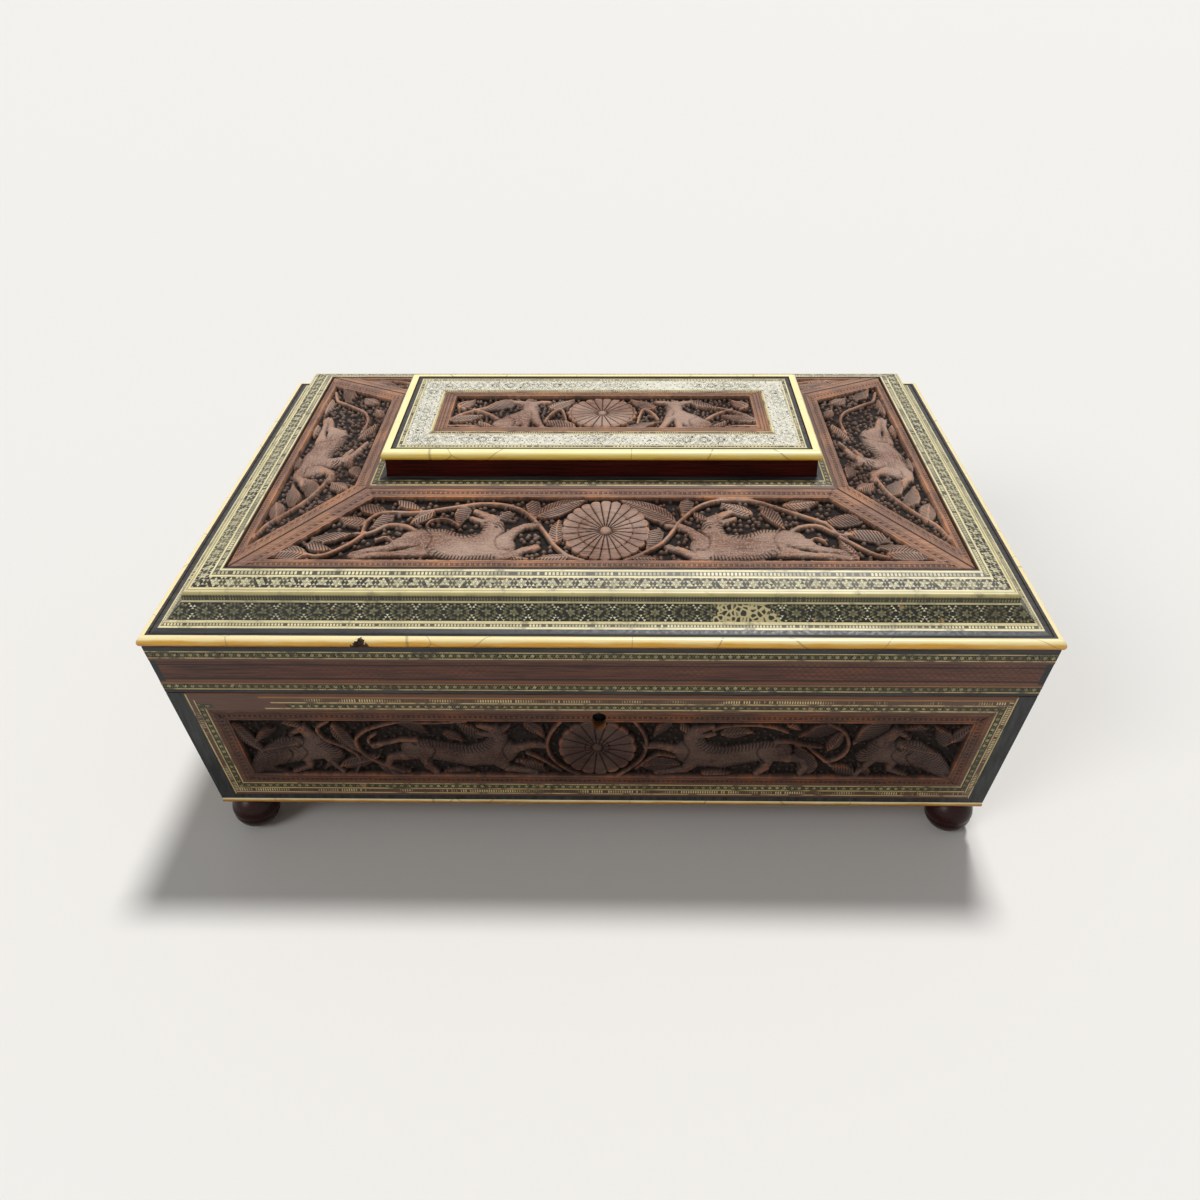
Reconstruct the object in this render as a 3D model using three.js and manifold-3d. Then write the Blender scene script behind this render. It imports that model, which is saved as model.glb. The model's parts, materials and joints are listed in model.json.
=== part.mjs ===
// Carved sandalwood jewellery box with micro-mosaic borders, bone edging and ball feet.
// Millimetres, +Z up, +X to the right, the keyhole side faces -Y, origin on the ground under the middle.
import * as THREE from 'three';
import { mergeVertices } from 'three/addons/utils/BufferGeometryUtils.js';
import Module from 'manifold-3d';

const wasm = await Module();
wasm.setup();

// Driving sizes of the whole box
const lidWidth = 280;
const lidDepth = 202;
const flare = 0.12;
const footHeight = 14.8;
const baseHeight = 52.9;
const seamGap = 0.3;
const skirtHeight = 19.4;
const wallThickness = 11;
const veneer = 1.2;
const glueGap = 0.3;
const mitreGap = 0.1;

// Feet and bottom
const footRadius = 8.2;
const footFlatRadius = 2.4;
const footTenonRadius = 3;
const footTenonLength = 4.5;
const footCentreFromCornerX = 8.1;
const footCentreFromCornerY = 6.8;
const bottomThickness = 6;

// Bone edging
const baseBeadHeight = 2.2;
const baseBeadDepth = 2.4;
const lidBeadHeight = 3.4;
const lidBeadDepth = 3;
const lidBeadProud = 0.9;
const plinthBeadHeight = 3.3;
const plinthBeadDepth = 3;
const plinthBeadProud = 1.2;

// Carved panels: a plain border round a sunk field that holds the relief
const panelThickness = 3.6;
const reliefDepth = 2.4;
const rosetteButtonBelow = 0.3;
const rosetteDiscBelow = 1.1;
const rosetteScallop = 0.07;
const formBelow = 0.6;
const vineWidth = 1.5;
const reliefRoot = 0.2;
const buttonRadius = 1.6;
const baseRosettePetals = 17;
const slopeRosettePetals = 24;
const plinthRosettePetals = 18;

// Base faces, measured down from the seam and in from the slanting side edges
const borderTopHeight = 7.8;
const borderBottomHeight = 7.1;
const hornStileWidth = 5.4;
const borderSideWidth = 5.2;
const frameTopHeight = 4.6;
const frameBottomHeight = 3.1;
const frameSideWidth = 5;
const hornFootStripHeight = 2;
const baseRosetteRadius = 12.6;

// Lid skirt bands, top to bottom
const skirtUpperInlayHeight = 5.8;
const skirtLowerInlayHeight = 5;

// Cornice section, each point as inset from the bead's edge and rise above the skirt's top
const corniceHornInset = 3.9;
const corniceHornRise = 3.3;
const corniceRampInset = 7;
const corniceRampRise = 4.7;
const corniceStepInset = 11.9;
const corniceStepRise = 9.7;
const corniceStepTopRise = 12.6;
const corniceTopInset = 22.6;
const corniceTopRise = 14.9;
const corniceStepRound = 1.6;
const corniceLedge = 3;

// Sloping lid panels and plinth
const slopeRatio = 0.2215;
const slopeThickness = 5.6;
const slopeSetDown = 0.1;
const slopeFrameOuter = 3.7;
const slopeFrameInner = 4.5;
const slopeFrameHip = 8.2;
const plinthInset = 67;
const plinthMarginWidth = 6;
const plinthRiser = 6.1;
const plinthFlatBelow = 0.3;
const plinthSadeliX = 13.4;
const plinthSadeliY = 15.9;
const plinthFrameX = 4.2;
const plinthFrameY = 3.2;
const slopeRosetteRadius = 14.3;
const plinthRosetteRoom = 1.4;

// Hinges
const hingeSpacing = 150;
const hingeLength = 25;
const hingeKnuckles = 5;
const hingeLeafWidth = 9;
const leafThickness = 1.2;
const knuckleRadius = 2.2;
const knuckleOut = 0.9;
const hingePinRadius = 0.8;
const runningGap = 0.3;

// Screws
const screwHeadRadius = 1.8;
const screwHeadHeight = 1;
const screwShankRadius = 0.9;
const screwLength = 7;

// Lock
const lockWidth = 40;
const lockHeight = 18.5;
const lockDepth = 5.8;
const lockWall = 0.7;
const lockCapThickness = 0.8;
const lockEndRoom = 2.5;
const lockMortiseOver = 4;
const selvedgeOverhang = 9;
const selvedgeLength = lockWidth + 2 * selvedgeOverhang;
const selvedgeWidth = 6.6;
const stapleFromEnd = 11;
const staplePitch = lockWidth - 2 * stapleFromEnd;
const stapleRoom = 0.6;
const stapleSlotDepth = 6;
const stapleLength = 2.4;
const stapleWidth = 2.8;
const stapleDrop = 7.6;
const stapleEyeWidth = 1.3;
const stapleEyeTop = 3.2;
const stapleEyeHeight = 3;
const boltThickness = 0.8;
const boltTongueHeight = 2;
const boltTongueLength = 5.2;
const boltStemWidth = 2;
const boltTipRoom = 0.7;
const boltNotchHalf = 2.2;
const boltNotchTop = 2.4;
const boltTravel = 4.5;
const boltBarHeight = 5;
const keyholeTop = 8.1;
const keyholeRadius = 2.4;
const keyholeSlotRadius = 2.15;
const keyholeDrop = 4.2;

// Tray
const trayHeight = 22;
const trayBottomThickness = 2;
const traySideThickness = 3;
const trayPartThickness = 2.4;
const trayBelowSeam = 2;
const trayClearance = 0.8;
const trayLedge = 4;
const trayBayHalf = 42;
const trayCellHalf = 26;
const trayPartitionDrop = 2;

// Heights and insets that follow from them
const seamZ = footHeight + baseHeight;
const skirtZ = seamZ + seamGap;
const lidEdgeZ = skirtZ + skirtHeight;
const lean = Math.atan(flare);
const hip = Math.atan(slopeRatio);
const faceInset = (z) => lidBeadProud + (lidEdgeZ - z) * flare;
const wallInner = (z) => faceInset(z) + wallThickness;
const trayTop = seamZ - trayBelowSeam;
const trayFloor = trayTop - trayHeight;
const ledgeZ = trayFloor - runningGap;
const slopeStartInset = corniceTopInset + glueGap;
const slopeStartZ = lidEdgeZ + corniceTopRise - slopeSetDown;
const slopeZ = (inset) => slopeStartZ + (inset - slopeStartInset) * slopeRatio;
const plinthTopZ = slopeZ(plinthInset) + plinthRiser + plinthBeadHeight - plinthFlatBelow;

// Materials
const finish = (color, roughness, metalness = 0) =>
  new THREE.MeshStandardMaterial({ color, roughness, metalness });
const sandalwood = finish('#6b3f2c', 0.55);
const plainSandalwood = finish('#8a5a3a', 0.6);
const rosewood = finish('#3a1710', 0.35);
const sadeli = finish('#7d7a5e', 0.45);
const horn = finish('#2b2d2e', 0.4);
const bone = finish('#e6cf8a', 0.4);
const brass = finish('#b08d48', 0.35, 1);
const steel = finish('#77797c', 0.4, 1);

// Solids: a closed geometry becomes a manifold for cutting and comes back as a geometry
function solid(geometry) {
  const bare = geometry.clone();
  bare.deleteAttribute('normal');
  bare.deleteAttribute('uv');
  const merged = mergeVertices(bare, 1e-4);
  return new wasm.Manifold(new wasm.Mesh({
    numProp: 3,
    vertProperties: new Float32Array(merged.attributes.position.array),
    triVerts: new Uint32Array(merged.index.array),
  }));
}

function shell(manifold) {
  const mesh = manifold.getMesh();
  const geometry = new THREE.BufferGeometry();
  geometry.setAttribute('position', new THREE.BufferAttribute(mesh.vertProperties, 3));
  geometry.setIndex(new THREE.BufferAttribute(mesh.triVerts, 1));
  return geometry;
}

function join(manifolds) {
  return manifolds.reduce((whole, piece) => whole.add(piece));
}

function cut(manifold, tools) {
  return tools.reduce((rest, tool) => rest.subtract(tool), manifold);
}

const polygon = (points) => new THREE.Shape(points.map(([x, y]) => new THREE.Vector2(x, y)));

// The four sides of the box: half its run along the side, and how far out its edge lies
const sides = [
  { name: 'front', run: lidWidth / 2, out: lidDepth / 2, turn: 0, faced: true },
  { name: 'right', run: lidDepth / 2, out: lidWidth / 2, turn: Math.PI / 2, faced: false },
  { name: 'back', run: lidWidth / 2, out: lidDepth / 2, turn: Math.PI, faced: true },
  { name: 'left', run: lidDepth / 2, out: lidWidth / 2, turn: -Math.PI / 2, faced: false },
];

// A moulding along one side with mitred ends; its section is [inset, height] points
function mitredStrip(section, side) {
  const geometry = new THREE.ExtrudeGeometry(polygon(section), { depth: 1, bevelEnabled: false });
  const at = geometry.attributes.position;
  for (let i = 0; i < at.count; i += 1) {
    const inset = at.getX(i);
    const half = side.run - inset - mitreGap;
    at.setXYZ(i, (2 * at.getZ(i) - 1) * half, inset - side.out, at.getY(i));
  }
  return solid(geometry);
}

// A moulding mitred at the four corners and run round the whole box as one ring
const turns = [[-1, -1], [1, -1], [1, 1], [-1, 1]];

function mitredRing(section) {
  const points = turns.flatMap(([sx, sy]) => section.flatMap(
    ([inset, z]) => [sx * (lidWidth / 2 - inset), sy * (lidDepth / 2 - inset), z],
  ));
  const faces = turns.flatMap((_, corner) => section.flatMap((__, i) => {
    const j = (i + 1) % section.length;
    const here = corner * section.length;
    const next = ((corner + 1) % turns.length) * section.length;
    return [here + i, next + i, next + j, here + i, next + j, here + j];
  }));
  const geometry = new THREE.BufferGeometry();
  geometry.setAttribute('position', new THREE.Float32BufferAttribute(points, 3));
  geometry.setIndex(faces);
  const made = solid(geometry);
  if (made.volume() > 0) return made;
  geometry.setIndex(faces.slice().reverse());
  return solid(geometry);
}

// A flat board whose outline is [along, up] points, from one depth to another behind its face
function board(outline, depthFrom, depthTo, placement) {
  const geometry = new THREE.ExtrudeGeometry(
    polygon(outline),
    { depth: depthTo - depthFrom, bevelEnabled: false, curveSegments: 8 },
  );
  geometry.rotateX(Math.PI / 2);
  geometry.translate(0, depthTo, 0);
  if (placement) geometry.applyMatrix4(placement);
  return solid(geometry);
}

function block(x0, x1, y0, y1, z0, z1) {
  const geometry = new THREE.BoxGeometry(x1 - x0, y1 - y0, z1 - z0);
  geometry.translate((x0 + x1) / 2, (y0 + y1) / 2, (z0 + z1) / 2);
  return solid(geometry);
}

// A turned piece whose profile is [radius, height] points that start and end on the axis
function turned(profile, segments, placement) {
  const points = profile.map(([r, z]) => new THREE.Vector2(r, z));
  const geometry = new THREE.LatheGeometry(points, segments);
  geometry.rotateX(Math.PI / 2);
  if (placement) geometry.applyMatrix4(placement);
  return solid(geometry);
}

function rodAlongX(x0, x1, y, z, radius, segments = 16) {
  const geometry = new THREE.CylinderGeometry(radius, radius, x1 - x0, segments);
  geometry.rotateZ(Math.PI / 2);
  geometry.translate((x0 + x1) / 2, y, z);
  return solid(geometry);
}

// Draws a convex outline in by a small gap, so that neighbours do not touch
function drawnIn(outline, gap) {
  const lines = outline.map(([x, y], i) => {
    const [nx, ny] = outline[(i + 1) % outline.length];
    const length = Math.hypot(nx - x, ny - y);
    const along = [(nx - x) / length, (ny - y) / length];
    return { at: [x - along[1] * gap, y + along[0] * gap], along };
  });
  return lines.map((line, i) => {
    const last = lines[(i + lines.length - 1) % lines.length];
    const cross = last.along[0] * line.along[1] - last.along[1] * line.along[0];
    const dx = line.at[0] - last.at[0];
    const dy = line.at[1] - last.at[1];
    const t = (dx * line.along[1] - dy * line.along[0]) / cross;
    return [last.at[0] + last.along[0] * t, last.at[1] + last.along[1] * t];
  });
}

// The scene: one group for each side, turned about the upright axis
const box = new THREE.Group();
box.name = 'sandalwood_jewellery_box';
const sideGroup = {};
for (const side of sides) {
  sideGroup[side.name] = new THREE.Group();
  sideGroup[side.name].rotation.z = side.turn;
  box.add(sideGroup[side.name]);
}

// The same solid in the frame of the whole box
function turnedToSide(manifold, side) {
  return solid(shell(manifold).applyMatrix4(new THREE.Matrix4().makeRotationZ(side.turn)));
}

function place(name, manifold, material, parent = box) {
  const mesh = new THREE.Mesh(shell(manifold), material);
  mesh.name = name;
  parent.add(mesh);
}

// Outer faces of the base and slopes of the lid, as flat frames that boards lie in
function facePlacement(side) {
  const placement = new THREE.Matrix4().makeRotationX(lean);
  return placement.setPosition(0, faceInset(footHeight) - side.out, footHeight);
}

function slopePlacement(side) {
  const placement = new THREE.Matrix4().makeRotationX(hip - Math.PI / 2);
  return placement.setPosition(0, slopeStartInset - side.out, slopeStartZ);
}

// A four-cornered outline on a base face, between two drops below the seam
function faceOutline(side, dropTop, dropBottom, marginLeft, marginRight = marginLeft) {
  const edge = (drop) => side.run - faceInset(seamZ - drop);
  const up = (drop) => (baseHeight - drop) / Math.cos(lean);
  return [
    [-(edge(dropBottom) - marginLeft), up(dropBottom)],
    [edge(dropBottom) - marginRight, up(dropBottom)],
    [edge(dropTop) - marginRight, up(dropTop)],
    [-(edge(dropTop) - marginLeft), up(dropTop)],
  ];
}

// A four-cornered outline on a lid slope, between two insets
function slopeOutline(side, insetLow, insetHigh, margin) {
  const up = (inset) => (inset - slopeStartInset) / Math.cos(hip);
  const half = (inset) => side.run - inset - margin;
  return [
    [-half(insetLow), up(insetLow)],
    [half(insetLow), up(insetLow)],
    [half(insetHigh), up(insetHigh)],
    [-half(insetHigh), up(insetHigh)],
  ];
}

// A flat frame that fills the gap between an outer and an inner outline
function pictureFrame(outer, inner, depth, placement) {
  const rim = board(drawnIn(outer, mitreGap), 0, depth, placement);
  return rim.subtract(board(drawnIn(inner, -mitreGap), -1, depth + 1, placement));
}

// A rosette: a disc with scalloped edge and a button, standing up from the sunk field
function rosetteOutline(radius, petals, y) {
  const steps = petals * 4;
  return Array.from({ length: steps }, (_, i) => {
    const angle = (2 * Math.PI * i) / steps;
    const scallop = Math.abs(Math.sin((petals * angle) / 2));
    const r = radius * (1 - rosetteScallop * (1 - scallop));
    return [r * Math.cos(angle), y + r * Math.sin(angle)];
  });
}

function rosette(radius, petals, y, placement) {
  const outline = rosetteOutline(radius, petals, y);
  const disc = board(outline, rosetteDiscBelow, reliefDepth + reliefRoot, placement);
  const buttonSides = 12;
  const buttonPoints = Array.from({ length: buttonSides }, (_, i) => [
    buttonRadius * Math.cos((2 * Math.PI * i) / buttonSides),
    y + buttonRadius * Math.sin((2 * Math.PI * i) / buttonSides),
  ]);
  return disc.add(board(buttonPoints, rosetteButtonBelow, reliefDepth, placement));
}

// A carved leaf, pointed at both ends, as six points round its rib
const leafShoulders = [[0.3, 0.46], [0.7, 0.4]];

function leafOutline(base, tip, width) {
  const along = [tip[0] - base[0], tip[1] - base[1]];
  const length = Math.hypot(...along);
  const side = (way) => leafShoulders.map(([share, half]) => [
    base[0] + along[0] * share - (way * half * width * along[1]) / length,
    base[1] + along[1] * share + (way * half * width * along[0]) / length,
  ]);
  return [base, ...side(-1), tip, ...side(1).reverse()];
}

// A vine's stem or a tail, of even width along a line of points
function vineOutline(points) {
  const side = (way) => points.map(([x, y], i) => {
    const [ax, ay] = points[Math.max(i - 1, 0)];
    const [bx, by] = points[Math.min(i + 1, points.length - 1)];
    const half = (way * vineWidth) / (2 * Math.hypot(bx - ax, by - ay));
    return [x - half * (by - ay), y + half * (bx - ax)];
  });
  return [...side(1), ...side(-1).reverse()];
}

// Beasts, leaves and vines left standing in a sunk field. Their points are [along, up] in percent
// of the field's height, along from its middle and up from its foot.
function carvedForms(field, beasts, foliage, placement) {
  const foot = field[0][1];
  const unit = (field[2][1] - foot) / 100;
  const spot = ([x, y]) => [x * unit, foot + y * unit];
  const leafShape = ([x0, y0, x1, y1, width]) => leafOutline(
    spot([x0, y0]),
    spot([x1, y1]),
    width * unit,
  );
  const outlines = [
    ...beasts.map((beast) => beast.map(spot)),
    ...foliage.leaves.map(leafShape),
    ...foliage.vines.map((vine) => vineOutline(vine.map(spot))),
  ];
  const depth = reliefDepth + reliefRoot;
  const forms = outlines.map((outline) => board(outline, formBelow, depth, placement));
  const room = board(drawnIn(field, -reliefRoot), 0, panelThickness, placement);
  return join(forms).intersect(room);
}

// The same outline moved along and up, or turned round about an upright line
const moved = (outline, dx, dy = 0) => outline.map(([x, y]) => [x + dx, y + dy]);
const turnedRound = (outline, twiceMiddle) => outline.map(([x, y]) => [twiceMiddle - x, y]);

// A keyhole: a round hole with a narrower lobe under it
function keyhole(depthFrom, depthTo, placement) {
  const top = (baseHeight - keyholeTop) / Math.cos(lean) - keyholeRadius;
  const ringSides = 16;
  const ring = (radius, y) => Array.from({ length: ringSides }, (_, i) => [
    radius * Math.cos((2 * Math.PI * i) / ringSides),
    y + radius * Math.sin((2 * Math.PI * i) / ringSides),
  ]);
  const lobe = board(ring(keyholeSlotRadius, top - keyholeDrop), depthFrom, depthTo, placement);
  const neck = board([
    [-keyholeSlotRadius, top - keyholeDrop],
    [keyholeSlotRadius, top - keyholeDrop],
    [keyholeSlotRadius, top],
    [-keyholeSlotRadius, top],
  ], depthFrom, depthTo, placement);
  return join([board(ring(keyholeRadius, top), depthFrom, depthTo, placement), lobe, neck]);
}

// A countersunk wood screw at a point, pointing down, or up with way = -1; extra gives its hole
function screw(x, y, z, way = 1, extra = 0) {
  const neck = screwHeadHeight + extra;
  const placement = new THREE.Matrix4().makeTranslation(x, y, z);
  if (way < 0) placement.multiply(new THREE.Matrix4().makeRotationX(Math.PI));
  return turned([
    [0, -(screwLength + extra)],
    [(screwShankRadius + extra) * 0.4, -(screwLength + extra)],
    [screwShankRadius + extra, -(screwLength + extra) * 0.75],
    [screwShankRadius + extra, -neck],
    [screwHeadRadius + extra, extra > 0 ? -extra : 0],
    [screwHeadRadius + extra, extra],
    [0, extra],
  ].filter((point, i) => extra > 0 || i !== 5), 10, placement);
}

// Bottom board and feet
function flaredPlate(z0, z1, margin) {
  const geometry = new THREE.BoxGeometry(2, 2, 2);
  const at = geometry.attributes.position;
  for (let i = 0; i < at.count; i += 1) {
    const z = at.getZ(i) > 0 ? z1 : z0;
    const inset = faceInset(z) + margin;
    at.setXYZ(
      i,
      Math.sign(at.getX(i)) * (lidWidth / 2 - inset),
      Math.sign(at.getY(i)) * (lidDepth / 2 - inset),
      z,
    );
  }
  return solid(geometry);
}

const footX = lidWidth / 2 - faceInset(footHeight) - footCentreFromCornerX;
const footY = lidDepth / 2 - faceInset(footHeight) - footCentreFromCornerY;
const corners = [
  ['front_left', -footX, -footY],
  ['front_right', footX, -footY],
  ['back_left', -footX, footY],
  ['back_right', footX, footY],
];

function foot() {
  const flatAngle = Math.asin(footFlatRadius / footRadius);
  const centre = footRadius * Math.cos(flatAngle);
  const topAngle = Math.PI - Math.acos((footHeight - centre) / footRadius);
  const profile = [[0, 0]];
  const rings = 9;
  for (let i = 0; i <= rings; i += 1) {
    const angle = flatAngle + ((topAngle - flatAngle) * i) / rings;
    const height = i === rings ? footHeight : centre - footRadius * Math.cos(angle);
    profile.push([footRadius * Math.sin(angle), i === 0 ? 0 : height]);
  }
  profile.push([footTenonRadius, footHeight]);
  profile.push([footTenonRadius, footHeight + footTenonLength]);
  profile.push([0, footHeight + footTenonLength]);
  return profile;
}

const bottomTop = footHeight + bottomThickness;
const bottomUpper = flaredPlate(footHeight + baseBeadHeight, bottomTop, veneer + glueGap);
const bottomLower = flaredPlate(footHeight, footHeight + baseBeadHeight, baseBeadDepth + glueGap);
const tenonHoles = corners.map(([, x, y]) => turned([
  [0, footHeight - 1],
  [footTenonRadius + glueGap, footHeight - 1],
  [footTenonRadius + glueGap, footHeight + footTenonLength + glueGap],
  [0, footHeight + footTenonLength + glueGap],
], 16, new THREE.Matrix4().makeTranslation(x, y, 0)));
place('bottom_board', cut(bottomUpper.add(bottomLower), tenonHoles), plainSandalwood);
for (const [corner, x, y] of corners) {
  const standing = new THREE.Matrix4().makeTranslation(x, y, 0);
  place(`foot_${corner}`, turned(foot(), 24, standing), rosewood);
}

// Hardware positions, in the frame of the side that carries it
const topOuterY = (side) => faceInset(seamZ) - side.out;
const [front, , back] = sides;
const hingeAxisY = topOuterY(back) - knuckleOut;
const hingeAxisZ = seamZ + seamGap / 2;
const hingeCentres = [-hingeSpacing / 2, hingeSpacing / 2];
const hingeScrewY = hingeAxisY + knuckleRadius + 1.4 + hingeLeafWidth / 2 - 1;
const hingeScrewXs = [-hingeLength / 3, hingeLength / 3];
const leafFrom = hingeAxisY + knuckleRadius + runningGap;
const leafTo = hingeAxisY + knuckleRadius + hingeLeafWidth;
const selvedgeTo = topOuterY(front) + wallThickness - glueGap;
const selvedgeFrom = selvedgeTo - selvedgeWidth;
const selvedgeScrewX = selvedgeLength / 2 - 3.5;
const selvedgeScrewY = (selvedgeFrom + selvedgeTo) / 2;
const eyeDepth = stapleEyeTop + stapleEyeHeight / 2;
const lockInner = wallThickness * Math.cos(lean) - 0.2;
const lockOuter = lockInner - lockDepth;
const boltY = (lockOuter + lockWall + lockInner - lockCapThickness) / 2;

// The lock leans with the front wall; its frame starts at the wall's outer top edge
const lockPlacement = new THREE.Matrix4().makeRotationX(lean);
lockPlacement.setPosition(0, topOuterY(front), seamZ);
const lockDrop = (drop) => (drop + boltY * Math.sin(lean)) / Math.cos(lean);
const eyePoint = new THREE.Vector3(0, boltY, -lockDrop(eyeDepth)).applyMatrix4(lockPlacement);
const stapleY = eyePoint.y;
const stapleXs = [-staplePitch / 2, staplePitch / 2];

const knuckleRooms = hingeCentres.map((x) => rodAlongX(
  x - hingeLength / 2 - runningGap,
  x + hingeLength / 2 + runningGap,
  hingeAxisY,
  hingeAxisZ,
  knuckleRadius + runningGap,
));

function leafRooms(z0, z1) {
  return hingeCentres.map((x) => block(
    x - hingeLength / 2 - runningGap,
    x + hingeLength / 2 + runningGap,
    hingeAxisY,
    leafTo + runningGap,
    z0,
    z1,
  ));
}

const lowerHingeRoom = [...knuckleRooms, ...leafRooms(seamZ - leafThickness - runningGap, seamZ + 2)];
const upperHingeRoom = [...knuckleRooms, ...leafRooms(skirtZ - 2, skirtZ + leafThickness + runningGap)];

function hingeScrewSpots() {
  return hingeCentres.flatMap((x) => hingeScrewXs.map((dx) => x + dx));
}

// Base walls with their facings
const fieldTop = borderTopHeight + frameTopHeight;
const borderBottom = baseHeight - baseBeadHeight - hornFootStripHeight;
const panelBottom = borderBottom - borderBottomHeight;
const fieldBottom = panelBottom - frameBottomHeight;
const panelMargin = hornStileWidth + borderSideWidth;
const fieldMargin = panelMargin + frameSideWidth;

function baseWall(side) {
  const zb = bottomTop;
  const wall = mitredStrip([
    [faceInset(zb) + veneer + glueGap, zb],
    [wallInner(zb), zb],
    [wallInner(ledgeZ - 2 * trayLedge), ledgeZ - 2 * trayLedge],
    [wallInner(ledgeZ - trayLedge / 2) + trayLedge, ledgeZ - trayLedge / 2],
    [wallInner(ledgeZ) + trayLedge, ledgeZ],
    [wallInner(ledgeZ), ledgeZ],
    [wallInner(seamZ), seamZ],
    [faceInset(seamZ) + veneer + glueGap, seamZ],
  ], side);
  const pocket = board(
    faceOutline(side, borderTopHeight - glueGap, panelBottom + glueGap, panelMargin - glueGap),
    -1,
    panelThickness + glueGap,
    facePlacement(side),
  );
  return wall.subtract(pocket);
}

// Carving of the base: beasts running from the rosette, birds beyond them, and foliage between
const baseBeast = [
  [-243, 59], [-221, 63], [-190, 58], [-160, 52], [-145, 59], [-141, 68], [-154, 73], [-145, 81],
  [-152, 88], [-141, 91], [-122, 88], [-116, 79], [-114, 64], [-107, 55], [-65, 58], [-65, 49],
  [-97, 44], [-104, 30], [-103, 14], [-80, 9], [-78, 1], [-120, 4], [-137, 16], [-167, 14],
  [-209, 26], [-215, 14], [-205, 4], [-213, 1], [-226, 11], [-230, 26], [-262, 24], [-265, 14],
  [-261, 1], [-270, 2], [-276, 17], [-269, 34], [-251, 41],
];
const baseBird = [
  [321, 41], [337, 64], [351, 75], [359, 87], [370, 89], [384, 69], [369, 70], [374, 63], [390, 66],
  [411, 55], [431, 36], [445, 18], [450, 1], [434, 1], [411, 12], [388, 19], [371, 19], [390, 7],
  [388, 1], [363, 11], [360, 22], [348, 25], [329, 1], [323, 5], [335, 26],
];
const baseLeft = {
  leaves: [
    [-251, 94, -215, 79, 16], [-175, 96, -148, 70, 17], [-93, 97, -68, 69, 17],
    [-105, 24, -71, 8, 17], [-329, 92, -302, 41, 20], [-331, 16, -278, 33, 18],
    [-453, 94, -422, 39, 17],
  ],
  vines: [
    [[-48, 98], [-61, 75], [-65, 52], [-59, 30], [-42, 11], [-23, -1]],
    [[-164, 98], [-240, 97], [-289, 81], [-304, 64], [-300, 41], [-251, 5]],
    [[-335, 96], [-350, 83], [-320, 49], [-304, 30], [-312, 3]],
  ],
};
const baseRight = {
  leaves: [
    [51, 20, 103, 21, 24], [150, 78, 190, 81, 20], [245, 58, 268, 5, 25], [249, 74, 289, 92, 23],
    [318, 62, 351, 97, 25], [291, 20, 323, 2, 19], [413, 90, 431, 59, 18], [434, 65, 458, 97, 17],
  ],
  vines: [
    [[44, 98], [56, 75], [59, 52], [52, 30], [36, 11], [23, -1]],
    [[141, 84], [190, 93], [232, 81]],
    [[281, 96], [300, 83], [309, 64], [308, 45], [297, 31], [283, 28]],
  ],
};
const baseBeastsLeft = [baseBeast, turnedRound(baseBird, -3)];
const baseBeastsRight = [turnedRound(baseBeast, -9), baseBird];
const shortBaseBeast = moved(baseBeast, 15);

function baseForms(side, field, placement) {
  if (side.faced) {
    return join([
      carvedForms(field, baseBeastsLeft, baseLeft, placement),
      carvedForms(field, baseBeastsRight, baseRight, placement),
    ]);
  }
  const half = carvedForms(field, [shortBaseBeast], baseLeft, placement);
  return half.add(half.mirror([1, 0, 0]));
}

function carvedBasePanel(side) {
  const placement = facePlacement(side);
  const face = faceOutline(side, borderTopHeight, panelBottom, panelMargin);
  const field = faceOutline(side, fieldTop, fieldBottom, fieldMargin);
  const middle = (field[0][1] + field[2][1]) / 2;
  const panel = board(drawnIn(face, mitreGap), 0, panelThickness, placement);
  const sunk = board(field, -1, reliefDepth, placement);
  const flower = rosette(baseRosetteRadius, baseRosettePetals, middle, placement);
  return join([panel.subtract(sunk), flower, baseForms(side, field, placement)]);
}

// The horn that edges all four faces: corner posts and the strip under each border
function hornEdging() {
  const low = seamZ - borderBottom - hornFootStripHeight;
  const rim = flaredPlate(low, seamZ, 0).subtract(flaredPlate(low - 1, seamZ + 1, veneer));
  const windows = sides.map((side) => {
    const opening = faceOutline(side, -2, borderBottom, hornStileWidth);
    return turnedToSide(board(opening, -2, veneer + 2, facePlacement(side)), side);
  });
  return cut(rim, windows);
}

function sadeliBorder(side) {
  const outer = faceOutline(side, 0, borderBottom, hornStileWidth);
  const inner = faceOutline(side, borderTopHeight, panelBottom, panelMargin);
  return pictureFrame(outer, inner, veneer, facePlacement(side));
}

// Half-round bone strip: flat at the back, bulging out by its proud part
function beadSection(outerInset, depth, height, zBottom, bulge) {
  const steps = 6;
  const round = Array.from({ length: steps + 1 }, (_, i) => {
    const angle = -Math.PI / 2 + (Math.PI * i) / steps;
    return [outerInset + bulge * (1 - Math.cos(angle)), zBottom + (height / 2) * (1 + Math.sin(angle))];
  });
  return [[outerInset + depth, zBottom], [outerInset + depth, zBottom + height], ...round.reverse()];
}

const frontFrame = facePlacement(front);
const keyholeCut = keyhole(-1, wallThickness + 2, frontFrame);
const lockBody = [
  [-lockWidth / 2, -lockHeight],
  [lockWidth / 2, -lockHeight],
  [lockWidth / 2, -veneer],
  [-lockWidth / 2, -veneer],
];
const lockMortise = board(
  [
    [-lockWidth / 2 - glueGap, -lockHeight - glueGap],
    [lockWidth / 2 + glueGap, -lockHeight - glueGap],
    [lockWidth / 2 + glueGap, lockMortiseOver],
    [-lockWidth / 2 - glueGap, lockMortiseOver],
  ],
  lockOuter - glueGap,
  wallThickness + 3,
  lockPlacement,
);
const selvedgeRoom = (z0, z1) => block(
  -selvedgeLength / 2 - glueGap,
  selvedgeLength / 2 + glueGap,
  selvedgeFrom - glueGap,
  selvedgeTo + 3,
  z0,
  z1,
);
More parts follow.
